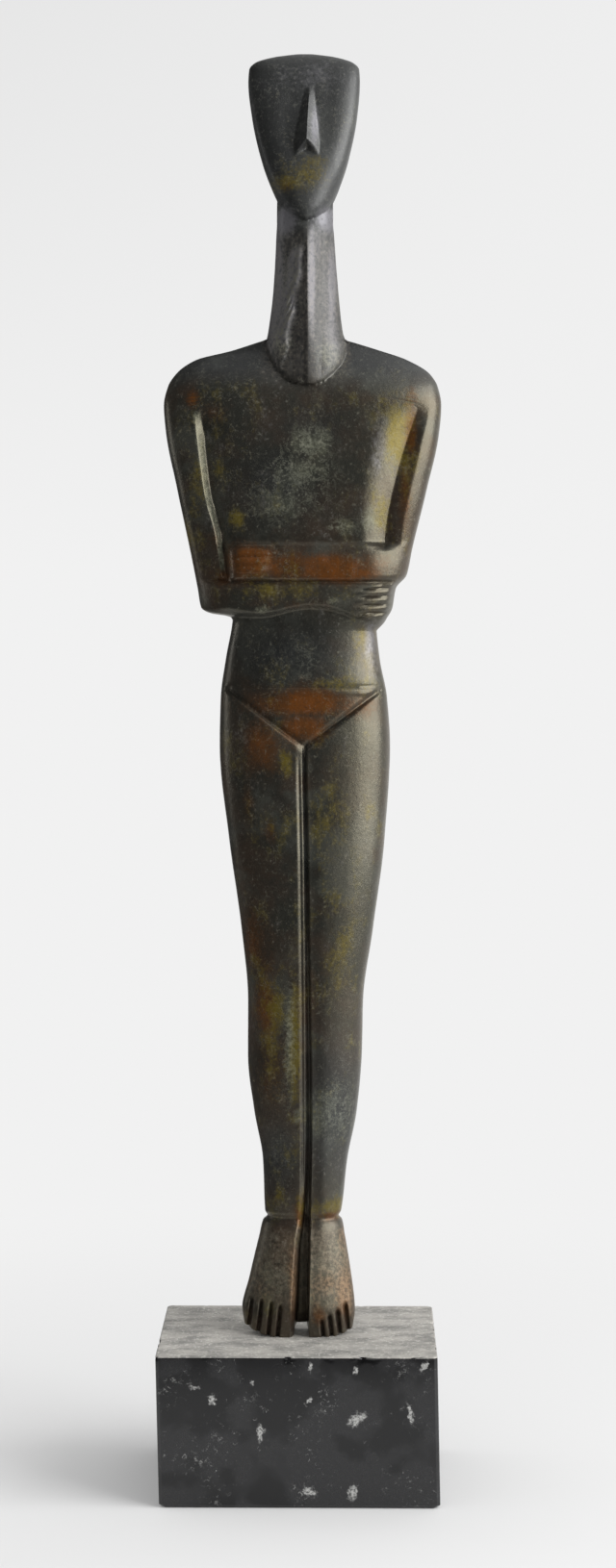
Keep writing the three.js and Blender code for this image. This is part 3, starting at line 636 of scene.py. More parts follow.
# %% The tree that roughens the casting
casting = bpy.data.node_groups.new("cast surface", "GeometryNodeTree")
casting.interface.new_socket("Geometry", in_out="INPUT", socket_type="NodeSocketGeometry")
INPUTS = {
    "Wave height": 0.00022, "Wave length": 0.016, "Grain height": 0.00028, "Grain size": 0.0016,
    "Pit depth": 0.00025, "Pit spacing": 0.004,
}
for label in INPUTS:
    casting.interface.new_socket(label, in_out="INPUT", socket_type="NodeSocketFloat")
casting.interface.new_socket("Material", in_out="INPUT", socket_type="NodeSocketMaterial")
casting.interface.new_socket("Geometry", in_out="OUTPUT", socket_type="NodeSocketGeometry")
given = add_node(casting, "NodeGroupInput")
spot = add_node(casting, "GeometryNodeInputPosition")
normal = add_node(casting, "GeometryNodeInputNormal")
rough_here = add_node(casting, "GeometryNodeInputNamedAttribute", {"Name": "rough"}, data_type="FLOAT")
wave_scale = add_node(casting, "ShaderNodeMath", {
    0: 1.0, 1: given.outputs["Wave length"]}, operation="DIVIDE")
wave = add_node(casting, "ShaderNodeTexNoise", {
    "Vector": spot, "Scale": wave_scale, "Detail": 2.0, "Roughness": 0.5})
wave_out = add_node(casting, "ShaderNodeMath", {0: wave.outputs["Fac"], 1: 0.62}, operation="SUBTRACT")
wave_move = add_node(casting, "ShaderNodeMath", {
    0: wave_out, 1: given.outputs["Wave height"]}, operation="MULTIPLY")
grain_scale = add_node(casting, "ShaderNodeMath", {
    0: 1.0, 1: given.outputs["Grain size"]}, operation="DIVIDE")
grain = add_node(casting, "ShaderNodeTexNoise", {
    "Vector": spot, "Scale": grain_scale, "Detail": 1.0, "Roughness": 0.5})
grain_out = add_node(casting, "ShaderNodeMath", {0: grain.outputs["Fac"], 1: 0.6}, operation="SUBTRACT")
grain_here = add_node(casting, "ShaderNodeMath", {
    0: grain_out, 1: rough_here.outputs["Attribute"]}, operation="MULTIPLY")
grain_move = add_node(casting, "ShaderNodeMath", {
    0: grain_here, 1: given.outputs["Grain height"]}, operation="MULTIPLY")
pit_scale = add_node(casting, "ShaderNodeMath", {
    0: 1.0, 1: given.outputs["Pit spacing"]}, operation="DIVIDE")
pits = add_node(casting, "ShaderNodeTexVoronoi", {"Vector": spot, "Scale": pit_scale})
pit_shape = add_node(casting, "ShaderNodeMapRange", {
    "Value": pits.outputs["Distance"], "From Min": 0.05, "From Max": 0.2, "To Min": -1.0, "To Max": 0.0},
    interpolation_type="SMOOTHSTEP")
pit_move = add_node(casting, "ShaderNodeMath", {
    0: pit_shape.outputs["Result"], 1: given.outputs["Pit depth"]}, operation="MULTIPLY")
crust_here = add_node(casting, "GeometryNodeInputNamedAttribute", {"Name": "crust"}, data_type="FLOAT")
pit_move = add_node(casting, "ShaderNodeMath", {
    0: pit_move, 1: crust_here.outputs["Attribute"]}, operation="MULTIPLY")
total = add_node(casting, "ShaderNodeMath", {
    0: wave_move, 1: grain_move}, operation="ADD")
total = add_node(casting, "ShaderNodeMath", {0: total, 1: pit_move}, operation="ADD")
offset = add_node(casting, "ShaderNodeVectorMath", {
    0: normal, "Scale": total}, operation="SCALE")
moved = add_node(casting, "GeometryNodeSetPosition", {
    "Geometry": given.outputs["Geometry"], "Offset": offset})
real = add_node(casting, "GeometryNodeRealizeInstances", {"Geometry": moved})
dressed = add_node(casting, "GeometryNodeSetMaterial", {
    "Geometry": real, "Material": given.outputs["Material"]})
add_node(casting, "NodeGroupOutput", {"Geometry": dressed})
print(f"cast surface: {len(casting.nodes)} nodes")

# %% [markdown]
# ## Colours
# Colours are written as sRGB hex values, as a paint chart gives them. Shaders work in linear light, so one
# function turns one into the other.

# %% From sRGB hex to linear
def linear(hex_colour):
    parts = [int(hex_colour[i:i + 2], 16) / 255 for i in (1, 3, 5)]
    return (*[p / 12.92 if p <= 0.04045 else ((p + 0.055) / 1.055) ** 2.4 for p in parts], 1)


# %% [markdown]
# ## Patinated and waxed bronze
# The metal is cast bronze whose surface was turned dark green-black and brown with chemicals and fire, and
# then waxed. To the eye the patina is nearly black and only its wax shines, so lights show as soft satin
# streaks. The material starts with all that varies over the surface, kept by name: the stored spots, and
# noises in real sizes. Clouds of about 28 mm are where the torch passed, and smears are 9 mm. The casting's
# sand is finer than the grit of 1.3 mm, which is drawn coarser so that it shows. A noise of 5 mm that is
# bent by another one gives tangled threads.

# %% Spots and noises of the patina
bronze = bpy.data.materials.new("patinated waxed bronze")
bronze.use_nodes = True
tree = bronze.node_tree
tree.nodes.clear()
patina = {}
for name in (*SPOTS, "rough", "warm"):
    patina[name] = add_node(tree, "ShaderNodeAttribute", attribute_name=name).outputs["Fac"]
coords = add_node(tree, "ShaderNodeTexCoord").outputs["Object"]
tall = add_node(tree, "ShaderNodeMapping", {"Vector": coords, "Scale": (1, 1, 0.6)})
bend = add_node(tree, "ShaderNodeTexNoise", {"Vector": coords, "Scale": 1 / 0.006, "Roughness": 0.5})
bent = add_node(tree, "ShaderNodeVectorMath", {
    0: bend.outputs["Color"], 1: (0.008, 0.008, 0.008), 2: coords}, operation="MULTIPLY_ADD")
# Each noise: its size in metres, where it is taken, its detail and how rough it is
PATTERNS = {
    "clouds": (0.028, coords, 6.0, 0.62), "smears": (0.009, tall, 7.0, 0.68),
    "grit": (0.0013, coords, 4.0, 0.7), "threads": (0.005, bent, 6.0, 0.7),
    "scratches": (0.0035, coords, 3.0, 0.6),
}
for name, (size, vector, detail, roughness) in PATTERNS.items():
    noise = add_node(tree, "ShaderNodeTexNoise", {
        "Vector": vector, "Scale": 1 / size, "Detail": detail, "Roughness": roughness})
    patina[name] = noise.outputs["Fac"]
    if name in ("clouds", "smears"):
        split = add_node(tree, "ShaderNodeSeparateColor", {0: noise.outputs["Color"]})
        for letter, output in zip("abc", split.outputs):
            patina[f"{name} {letter}"] = output
print(f"{len(patina)} values that vary over the bronze")

# %% [markdown]
# A stored spot only says where a finish gathers. Smears and grit are added to it, so that its edge breaks up
# as a real stain's does. On the head and the neck the smears count for less, because the metal is calmer
# there. A noise's distance from its middle value, where it is small, gives thin lines: threads of crust, and
# scratches.

# %% Sums of spots and noises
# Each step: its name, what it does, and what with, where a word stands for a value that is kept by name
SUMS = (
    ("calm", "MULTIPLY_ADD", "warm", 0.6, 0.4), ("grit off", "SUBTRACT", "grit", 0.5),
    ("smears a off", "SUBTRACT", "smears a", 0.5), ("smears b off", "SUBTRACT", "smears b", 0.5),
    ("smears c off", "SUBTRACT", "smears c", 0.5), ("stir a", "MULTIPLY", "smears a off", "calm"),
    ("stir b", "MULTIPLY", "smears b off", "calm"), ("stir c", "MULTIPLY", "smears c off", "calm"),
    ("rust smeared", "MULTIPLY_ADD", "stir a", 1.3, "rust"),
    ("rust torn", "MULTIPLY_ADD", "grit off", 1.0, "rust smeared"),
    ("ochre smeared", "MULTIPLY_ADD", "stir b", 3.0, "ochre"),
    ("ochre torn", "MULTIPLY_ADD", "grit off", 1.6, "ochre smeared"),
    ("worn and highlight smeared", "MULTIPLY_ADD", "stir c", 1.8, "worn and highlight"),
    ("worn and highlight torn", "MULTIPLY_ADD", "grit off", 1.2, "worn and highlight smeared"),
    ("crumbs", "MULTIPLY_ADD", "grit off", 2.6, "crust"),
    ("spread", "MULTIPLY_ADD", "smears a off", 1.6, "crust"),
    ("moss", "MULTIPLY_ADD", "smears b off", 2.4, "crust"),
    ("threads off", "SUBTRACT", "threads", 0.5), ("from thread", "ABSOLUTE", "threads off"),
    ("scratches off", "SUBTRACT", "scratches", 0.5), ("from scratch", "ABSOLUTE", "scratches off"),
    ("not cool", "SUBTRACT", 1.0, "cool"), ("brown body", "MULTIPLY", "warm", "not cool"),
    ("not warm", "SUBTRACT", 1.0, "warm"), ("smooth", "SUBTRACT", 1.0, "rough"),
)
for name, operation, *values in SUMS:
    numbers = {i: patina.get(value, value) for i, value in enumerate(values)}
    patina[name] = add_node(tree, "ShaderNodeMath", numbers, operation=operation)
print(f"{len(SUMS)} sums")

# %% [markdown]
# A soft step turns such a sum into a mask: nothing below its start, and its full strength above its end. A
# step whose start lies above its end keeps what is low. The strength stays below one where a finish only
# veils.

# %% Soft steps
# Each step: the mask's name, what it is made from, its start and end, and its full strength
STEPS = (
    ("rust mask", "rust torn", 0.15, 1.15, 1.0), ("ochre mask", "ochre torn", 0.15, 1.15, 1.0),
    ("worn and highlight mask", "worn and highlight torn", 0.15, 1.15, 1.0), ("crumb mask", "crumbs", 0.62, 1.45, 0.8),
    ("thread mask", "from thread", 0.026, 0.0, 1.0), ("spread mask", "spread", 0.1, 0.8, 1.0),
    ("moss mask", "moss", 0.3, 0.95, 0.6), ("brown clouds", "clouds a", 0.38, 0.62, 1.0),
    ("grey clouds", "clouds c", 0.5, 0.62, 0.8), ("olive smears", "smears b", 0.52, 0.75, 0.6),
    ("tan clouds", "clouds b", 0.55, 0.75, 0.5), ("full rust", "rust", 0.4, 1.1, 1.0),
    ("red smears", "smears c", 0.28, 0.68, 1.0), ("scratch mask", "from scratch", 0.016, 0.0, 1.0),
    ("scratched", "smears b", 0.4, 0.65, 0.35), ("pale grit", "grit", 0.57, 0.72, 0.5),
    ("tan grit", "grit", 0.35, 0.65, 1.0), ("rusty grit", "grit", 0.4, 0.62, 1.0),
    ("dark grit", "grit", 0.42, 0.28, 0.55),
)
for name, source, start, end, top in STEPS:
    patina[name] = add_node(tree, "ShaderNodeMapRange", {
        "Value": patina[source], "From Min": start, "From Max": end, "To Max": top},
        interpolation_type="SMOOTHSTEP")
print(f"{len(STEPS)} soft steps")

# %% [markdown]
# Some finishes show only where two things meet. Brown and olive belong to the warm body, and red rust to the
# heart of a rust spot. The crust is crumbs together with a scribble, which is threads where the crust
# spreads.

# %% Where two things meet
MEETINGS = (
    ("scribble", "MULTIPLY", "thread mask", "spread mask"), ("faint scribble", "MULTIPLY", "scribble", 0.5),
    ("crust mask", "MAXIMUM", "crumb mask", "faint scribble"),
    ("brown", "MULTIPLY", "brown clouds", "brown body"),
    ("olive", "MULTIPLY", "olive smears", "brown body"), ("tan", "MULTIPLY", "tan clouds", "brown body"),
    ("painted shade", "MULTIPLY", "shade spots", 0.65), ("red rust", "MULTIPLY", "full rust", "red smears"),
    ("fine scratches", "MULTIPLY", "scratch mask", "scratched"), ("foot", "MULTIPLY", "rough", 0.7),
    ("rusty foot", "MULTIPLY", "rough", "rust mask"), ("red wax", "MULTIPLY", "rust mask", "smooth"),
)
for name, operation, *values in MEETINGS:
    numbers = {i: patina.get(value, value) for i, value in enumerate(values)}
    patina[name] = add_node(tree, "ShaderNodeMath", numbers, operation=operation)
print(f"{len(MEETINGS)} meetings")

# %% [markdown]
# The colours are laid one over the other, as the patina was: a green-black ground with brown, grey, olive
# and tan clouds, mossy grey under the crust, painted shade in the creases and hollows, rust in two tones,
# ochre, rubbed metal with its painted highlights, and the pale crust. Fine scratches and pale grit follow.
# The feet and a little of the neck have a rough skin whose grit is dark and tan, and dark grit comes last
# over everything.

# %% Colours of the patina
# Each tone of two colours: where it turns from the first to the second
TONES = {
    "rust": ("red rust", "#3a2614", "#58310f"), "foot": ("tan grit", "#2b2724", "#726759"),
    "rusty foot": ("rusty grit", "#3c2716", "#7a6047"),
}
tones = {}
for name, (mask, first, second) in TONES.items():
    tones[name] = add_node(tree, "ShaderNodeMix", {
        0: patina[mask], 6: linear(first), 7: linear(second)}, data_type="RGBA").outputs[2]
# The nearly black layer is painted shade, and the pale grey metal layer is rubbed metal and painted
# highlights
LAYERS = (
    ("brown", linear("#2a211c")), ("grey clouds", linear("#30322f")), ("olive", linear("#33301d")),
    ("tan", linear("#3f2712")), ("moss mask", linear("#44463a")), ("painted shade", linear("#0c0d0d")),
    ("rust mask", tones["rust"]), ("ochre mask", linear("#4e451a")), ("worn and highlight mask", linear("#69686c")),
    ("crust mask", linear("#6c6e60")), ("fine scratches", linear("#6c6c63")),
    ("pale grit", linear("#5d5d54")), ("foot", tones["foot"]), ("rusty foot", tones["rusty foot"]),
    ("dark grit", linear("#0e0e0d")),
)
colour = linear("#1b1d1c")
for mask, over in LAYERS:
    colour = add_node(tree, "ShaderNodeMix", {
        0: patina[mask], 6: colour, 7: over}, data_type="RGBA").outputs[2]
print(f"{len(LAYERS)} layers of colour")

# %% [markdown]
# What the wax mirrors is tinted too, warm on the body, yellower on the ochre and redder on the rust, as if
# the wax had taken on the colour under it. A patina is a mineral skin and not bare metal, so the metallic
# value stays low and rises only where the metal is rubbed bare, and on the painted highlights that share
# that mask.

# %% The tint of the wax
sheen = (1, 1, 1, 1)
for mask, over in (("brown body", "#fff3cf"), ("ochre mask", "#dfca80"), ("red wax", "#c07d42")):
    sheen = add_node(tree, "ShaderNodeMix", {
        0: patina[mask], 6: sheen, 7: linear(over)}, data_type="RGBA").outputs[2]
metallic = add_node(tree, "ShaderNodeMapRange", {"Value": patina["worn and highlight mask"], "To Min": 0.15, "To Max": 0.6})
print(f"with the tint of the wax: {len(tree.nodes)} nodes")

# %% [markdown]
# Wax gives a satin gloss: a roughness of about 0.25 to 0.38 on the body, and more on the head, the crust and
# the feet. Two bumps give what is too fine for the mesh: the grit, and under it the unevenness of the
# smears.

# %% Gloss and relief of the bronze
waxed = add_node(tree, "ShaderNodeMapRange", {
    "Value": patina["smears c"], "From Min": 0.3, "From Max": 0.7, "To Min": 0.25, "To Max": 0.38})
gloss = add_node(tree, "ShaderNodeMath", {0: patina["not warm"], 1: 0.2, 2: waxed}, operation="MULTIPLY_ADD")
for mask, matte in (("crust mask", 0.56), ("rough", 0.7)):
    gloss = add_node(tree, "ShaderNodeMix", {0: patina[mask], 2: gloss, 3: matte}, data_type="FLOAT")
fine_bump = add_node(tree, "ShaderNodeBump", {"Height": patina["grit"], "Strength": 0.3, "Distance": 0.0003})
bump = add_node(tree, "ShaderNodeBump", {
    "Height": patina["smears a"], "Strength": 0.35, "Distance": 0.0006, "Normal": fine_bump})
surface = add_node(tree, "ShaderNodeBsdfPrincipled", {
    "Base Color": colour, "Metallic": metallic, "Roughness": gloss, "Normal": bump,
    "Specular IOR Level": 0.75, "Specular Tint": sheen, "Coat Weight": 0.15, "Coat Roughness": 0.3})
add_node(tree, "ShaderNodeOutputMaterial", {"Surface": surface})
print(f"bronze: {len(tree.nodes)} nodes")

# %% [markdown]
# The tree runs as a modifier. Its inputs are set by the sockets' identifiers, before the object is first
# evaluated. Then the evaluated result becomes the plain mesh that is kept, and no point of it may lie
# outside the solid's box.

# %% The figure
def run_tree(name, mesh, group, values):
    source = bpy.data.objects.new(name + "_source", mesh)
    bpy.context.scene.collection.objects.link(source)
    modifier = source.modifiers.new("tree", "NODES")
    modifier.node_group = group
    for item in group.interface.items_tree:
        if item.item_type == "SOCKET" and item.in_out == "INPUT" and item.name in values:
            modifier[item.identifier] = values[item.name]
    bpy.context.view_layer.update()
    ready = source.evaluated_get(bpy.context.evaluated_depsgraph_get())
    result = bpy.data.meshes.new_from_object(ready)
    bpy.data.objects.remove(source)
    piece = bpy.data.objects.new(name, result)
    bpy.context.scene.collection.objects.link(piece)
    return piece


def keep_inside(mesh, low, high):
    co = np.empty(len(mesh.vertices) * 3, np.float32)
    mesh.vertices.foreach_get("co", co)
    co = np.clip(co.reshape(-1, 3), np.array(low), np.array(high))
    mesh.vertices.foreach_set("co", co.ravel())
    mesh.update()


figure = run_tree("bronze_figure", skin, casting, {**INPUTS, "Material": bronze})
keep_inside(figure.data, figure_low, figure_high)
figure.data.shade_smooth()
figure.data.set_sharp_from_angle(angle=math.radians(50))
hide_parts("figure")
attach(figure, "root")
figure.data.calc_loop_triangles()
print(f"figure: {len(figure.data.loop_triangles)} triangles")

# %% [markdown]
# ## The block of marble
# The plinth was sawn and its sides polished. Its upright edges are chamfered, and its top edges are only
# broken with a stone, so small chips show along them. The mesh is rings again: round the four sides, over
# the top edge and in towards the middle of the top, with close-set points near the edge so that the chips
# have something to bite into. The saw ran slightly off, so the top lies a little to the left of the foot.

# %% The outline of the block
CHAMFER, ARRIS = 0.0012, 0.0004
lean = plinth_high.x + plinth_low.x  # how far the top lies from the foot, to the left where it is negative
half_x = (plinth_high.x - plinth_low.x + lean) / 2
half_y = (plinth_high.y - plinth_low.y) / 2
corner_steps = 3


def block_ring(height, inset, spacing=0.0007):
    hx, hy, cut = half_x - inset, half_y - inset, CHAMFER
    corners = [
        (hx - cut, -hy), (hx, cut - hy), (hx, hy - cut), (hx - cut, hy),
        (cut - hx, hy), (-hx, hy - cut), (-hx, cut - hy), (cut - hx, -hy),
    ]
    shift = lean * height / plinth_high.z
    lengths = [2 * (half_y - cut), 2 * (half_x - cut)]
    counts = [corner_steps, round(lengths[0] / spacing), corner_steps, round(lengths[1] / spacing)] * 2
    ring = []
    for n, (a, b) in enumerate(zip(corners, corners[1:] + corners[:1])):
        t = np.arange(counts[n])[:, None] / counts[n]
        ring.append(np.array(a) * (1 - t) + np.array(b) * t)
    flat = np.concatenate(ring)
    return np.column_stack([flat[:, 0] + shift, flat[:, 1], np.full(len(flat), height)])


# Each level: its height, and how far its outline lies in from the sides
top = plinth_high.z
levels = [(0, CHAMFER), (0.0004, 0.0008), (CHAMFER, 0)]
levels += [(h, 0) for h in np.linspace(0.006, top - 0.006, 8)]
levels += [(top - d, 0) for d in (0.004, 0.003, 0.0023, 0.0018, 0.0014, 0.001, 0.0007, ARRIS)]
levels += [(top - 0.0002, 0.0002), (top, ARRIS)]
levels += [(top, d) for d in (0.0008, 0.0013, 0.0019, 0.0026, 0.0035, 0.005, 0.008, 0.013, 0.02, 0.028)]
levels += [(top, 0.036)]
block_rings = [block_ring(h, i) for h, i in levels]
block_size = len(block_rings[0])
print(f"{len(levels)} rings of {block_size} points")

# %% [markdown]
# The rings become a closed mesh, with one flat face over the middle of the top and one under the foot. Each
# point also stores how near it is to the top edge, because only the edge is chipped.

# %% The mesh of the block
block_points = np.concatenate(block_rings)
block_faces = quads_between(len(block_rings), block_size)
block_faces.append(list(range(block_size))[::-1])  # the foot, and then the middle of the top
block_faces.append([len(block_points) - block_size + i for i in range(block_size)])
block = bpy.data.meshes.new("marble_block")
block.from_pydata(block_points.tolist(), [], block_faces)
block.update()
near_edge = np.concatenate([
    np.full(block_size, bell(max(top - h, 0) + (i if h >= top - 0.0003 else 0), 0.0012)) for h, i in levels])
layer = block.attributes.new("near_edge", "FLOAT", "POINT")
layer.data.foreach_set("value", near_edge.astype(np.float32))
print(f"block: {len(block_points)} points, {len(block_faces)} faces")

# %% [markdown]
# Chips follow the top edge at random. A second small tree makes them: near the edge, wherever a coarse noise
# is high, it moves the points down and in towards the middle of the block. A fixed seed keeps them in place.

# %% The tree that chips the edge
chipping = bpy.data.node_groups.new("chipped edge", "GeometryNodeTree")
chipping.interface.new_socket("Geometry", in_out="INPUT", socket_type="NodeSocketGeometry")
CHIP_INPUTS = {"Chip depth": 0.001, "Chip length": 0.005, "Seed": 4.0}
for label in CHIP_INPUTS:
    chipping.interface.new_socket(label, in_out="INPUT", socket_type="NodeSocketFloat")
chipping.interface.new_socket("Material", in_out="INPUT", socket_type="NodeSocketMaterial")
chipping.interface.new_socket("Geometry", in_out="OUTPUT", socket_type="NodeSocketGeometry")
given = add_node(chipping, "NodeGroupInput")
spot = add_node(chipping, "GeometryNodeInputPosition")
edge_here = add_node(chipping, "GeometryNodeInputNamedAttribute", {"Name": "near_edge"}, data_type="FLOAT")
chip_scale = add_node(chipping, "ShaderNodeMath", {
    0: 1.0, 1: given.outputs["Chip length"]}, operation="DIVIDE")
chips = add_node(chipping, "ShaderNodeTexNoise", {
    "Vector": spot, "W": given.outputs["Seed"], "Scale": chip_scale, "Detail": 3.0},
    noise_dimensions="4D")
chip_bite = add_node(chipping, "ShaderNodeMapRange", {
    "Value": chips.outputs["Fac"], "From Min": 0.55, "From Max": 0.75}, interpolation_type="SMOOTHSTEP")
bite_here = add_node(chipping, "ShaderNodeMath", {
    0: chip_bite.outputs["Result"], 1: edge_here.outputs["Attribute"]}, operation="MULTIPLY")
bite = add_node(chipping, "ShaderNodeMath", {
    0: bite_here, 1: given.outputs["Chip depth"]}, operation="MULTIPLY")
heart_of_block = (0, 0, 0.03)
inwards = add_node(chipping, "ShaderNodeVectorMath", {
    0: spot, 1: heart_of_block}, operation="SUBTRACT")
inwards = add_node(chipping, "ShaderNodeVectorMath", {0: inwards}, operation="NORMALIZE")
back_in = add_node(chipping, "ShaderNodeMath", {0: bite, 1: -1.0}, operation="MULTIPLY")
offset = add_node(chipping, "ShaderNodeVectorMath", {
    0: inwards, "Scale": back_in}, operation="SCALE")
moved = add_node(chipping, "GeometryNodeSetPosition", {
    "Geometry": given.outputs["Geometry"], "Offset": offset})
real = add_node(chipping, "GeometryNodeRealizeInstances", {"Geometry": moved})
dressed = add_node(chipping, "GeometryNodeSetMaterial", {
    "Geometry": real, "Material": given.outputs["Material"]})
add_node(chipping, "NodeGroupOutput", {"Geometry": dressed})
print(f"chipped edge: {len(chipping.nodes)} nodes")

# %% [markdown]
# ## Black marble
# Black marble is a fine dark limestone with white calcite flecks and paler clouds. Polished, it is nearly
# black and mirrors its surroundings faintly. The flecks come first. The dozen large ones on the front are
# ellipsoids that reach a little way into the stone. A ragged noise shakes their outline, because crystals
# have no smooth one.

# %% The large white flecks
# Each large fleck: x, height, half width and half height in millimetres, and its turn in degrees
FLECKS = [
    (20.4, 32.5, 3.8, 2.0, 35), (3.7, 6.1, 2.7, 1.3, -30), (19.0, 6.1, 1.7, 3.0, -10),
    (-14.1, 27.1, 1.3, 3.4, 0), (-16.4, 45.1, 1.0, 1.0, 0), (-31.0, 39.2, 1.3, 2.0, 20),
    (3.7, 39.0, 1.0, 1.0, 0), (-37.6, 43.7, 2.0, 1.0, -20), (4.0, 51.1, 0.8, 2.0, 0),
    (39.4, 34.3, 1.0, 4.0, 10), (19.7, 50.1, 1.0, 1.6, 0), (44.2, 51.2, 0.9, 2.0, -20),
]
EATEN = 0.75  # the share of an ellipsoid that is left once its rim is ragged
marble = bpy.data.materials.new("polished black marble")
marble.use_nodes = True
tree = marble.node_tree
tree.nodes.clear()
texture = add_node(tree, "ShaderNodeTexCoord")
coords = texture.outputs["Object"]
ragged = add_node(tree, "ShaderNodeTexNoise", {
    "Vector": coords, "Scale": 1 / 0.0022, "Detail": 5.0, "Roughness": 0.7})
shake = add_node(tree, "ShaderNodeVectorMath", {
    0: ragged.outputs["Color"], 1: (0.5, 0.5, 0.5)}, operation="SUBTRACT")
shaken = add_node(tree, "ShaderNodeVectorMath", {
    0: shake, 1: (0.006, 0.006, 0.006), 2: coords}, operation="MULTIPLY_ADD")
white = 0.0
for x_mm, z_mm, wide, high, turn in FLECKS:
    half_axes = (wide / 1000 / EATEN, 0.004, high / 1000 / EATEN)
    fitted = add_node(tree, "ShaderNodeMapping", {
        "Vector": shaken, "Location": (x_mm / 1000, plinth_low.y, z_mm / 1000),
        "Rotation": (0, math.radians(-turn), 0), "Scale": half_axes}, vector_type="TEXTURE")
    ball = add_node(tree, "ShaderNodeTexGradient", {"Vector": fitted}, gradient_type="SPHERICAL")
    white = add_node(tree, "ShaderNodeMath", {0: white, 1: ball.outputs["Fac"]}, operation="MAXIMUM")
print(f"{len(FLECKS)} large flecks")

# %% [markdown]
# The stone is built as the patina was: noises in real sizes, then soft steps, then what shows where two of
# them meet. Small flecks are wherever a fine noise is high. The pale clouds are about 17 mm across, and the
# stone is made paler towards the foot of the block. The top was left dull, with pale dust that was wiped
# across it.

# %% Noises and masks of the marble
wiped = add_node(tree, "ShaderNodeMapping", {"Vector": coords, "Scale": (0.5, 1.0, 1.0)})
PATTERNS = {
    "crystals": (0.0008, coords, 3.0, 0.6), "sprinkled": (0.0015, shaken, 4.0, 0.75),
    "gathered": (0.012, coords, 2.0, 0.5), "clouds": (0.017, shaken, 2.0, 0.5),
    "fine": (0.0012, coords, 4.0, 0.7), "wipes": (0.009, wiped, 8.0, 0.68),
}
stone = {"white": white}
for name, (size, vector, detail, roughness) in PATTERNS.items():
    stone[name] = add_node(tree, "ShaderNodeTexNoise", {
        "Vector": vector, "Scale": 1 / size, "Detail": detail, "Roughness": roughness}).outputs["Fac"]
height = add_node(tree, "ShaderNodeSeparateXYZ", {0: coords}).outputs["Z"]
stone["low down"] = add_node(tree, "ShaderNodeMapRange", {
    "Value": height, "From Min": 0.05, "From Max": 0.015, "To Min": -0.05, "To Max": 0.05})
stone["facing up"] = add_node(tree, "ShaderNodeSeparateXYZ", {0: texture.outputs["Normal"]}).outputs["Z"]
for name, operation, *values in (
    ("gathered off", "SUBTRACT", "gathered", 0.5), ("low clouds", "ADD", "clouds", "low down"),
    ("sprinkle", "MULTIPLY_ADD", "gathered off", 0.35, "sprinkled"),
):
    numbers = {i: stone.get(value, value) for i, value in enumerate(values)}
    stone[name] = add_node(tree, "ShaderNodeMath", numbers, operation=operation)
for name, source, start, end, top in (
    ("fleck", "white", 0.1, 0.6, 0.75), ("crystal", "crystals", 0.3, 0.6, 1.0),
    ("small fleck", "sprinkle", 0.64, 0.76, 0.55), ("cloud", "low clouds", 0.43, 0.57, 1.0),
    ("fine mask", "fine", 0.4, 0.7, 0.5), ("top", "facing up", 0.45, 0.8, 1.0),
    ("wiped", "wipes", 0.36, 0.62, 1.0), ("dust grains", "fine mask", 0.2, 0.5, 0.5),
):
    stone[name] = add_node(tree, "ShaderNodeMapRange", {
        "Value": stone[source], "From Min": start, "From Max": end, "To Max": top},
        interpolation_type="SMOOTHSTEP")
for name, operation, first, second in (
    ("large fleck", "MULTIPLY", "fleck", "crystal"), ("flecks", "MAXIMUM", "large fleck", "small fleck"),
    ("fine cloud", "MULTIPLY", "fine mask", "cloud"), ("dust relief", "MULTIPLY", "wipes", "top"),
):
    stone[name] = add_node(tree, "ShaderNodeMath", {
        0: stone[first], 1: stone[second]}, operation=operation)
print(f"{len(stone)} values that vary over the marble")

# %% [markdown]
# The dust hides the stone's own colour, so it comes as the last layer. Polish gives a roughness of 0.16 on
# the sides, and the dust is matte and has a fine relief.

# %% The marble
dust = linear("#757470")
for mask, over in (("wiped", "#9f9c96"), ("dust grains", "#d6d3cc")):
    dust = add_node(tree, "ShaderNodeMix", {
        0: stone[mask], 6: dust, 7: linear(over)}, data_type="RGBA").outputs[2]
colour = linear("#0a0a0b")
for mask, over in (
    ("cloud", linear("#1d1d1e")), ("fine cloud", linear("#242425")), ("flecks", linear("#b9b9b6")),
    ("top", dust),
):
    colour = add_node(tree, "ShaderNodeMix", {
        0: stone[mask], 6: colour, 7: over}, data_type="RGBA").outputs[2]
polish = add_node(tree, "ShaderNodeMix", {0: stone["top"], 2: 0.16, 3: 0.85}, data_type="FLOAT")
grain = add_node(tree, "ShaderNodeBump", {
    "Height": stone["dust relief"], "Strength": 0.4, "Distance": 0.0008})
surface = add_node(tree, "ShaderNodeBsdfPrincipled", {
    "Base Color": colour, "Roughness": polish, "IOR": 1.5, "Normal": grain})
add_node(tree, "ShaderNodeOutputMaterial", {"Surface": surface})
print(f"marble: {len(tree.nodes)} nodes")

# %% [markdown]
# The chipping tree runs on the block as the casting's tree did on the figure, and the result is the plinth.

# %% The plinth
plinth = run_tree("marble_plinth", block, chipping, {**CHIP_INPUTS, "Material": marble})
keep_inside(plinth.data, plinth_low, plinth_high)
plinth.data.shade_smooth()
plinth.data.set_sharp_from_angle(angle=math.radians(30))
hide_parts("plinth")
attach(plinth, "root")
print(f"plinth: {len(plinth.data.polygons)} faces, {len(tree.nodes)} nodes in its stone")

# %% [markdown]
# ## The setting
# A plain pale floor that fades into a pale surrounding has no horizon. Near the object the floor is painted
# board that takes a shadow, and from half a metre out it only glows with the surrounding's own tone. A tenth
# of the glow is left even near the object, as painted light that lightens the shadow.

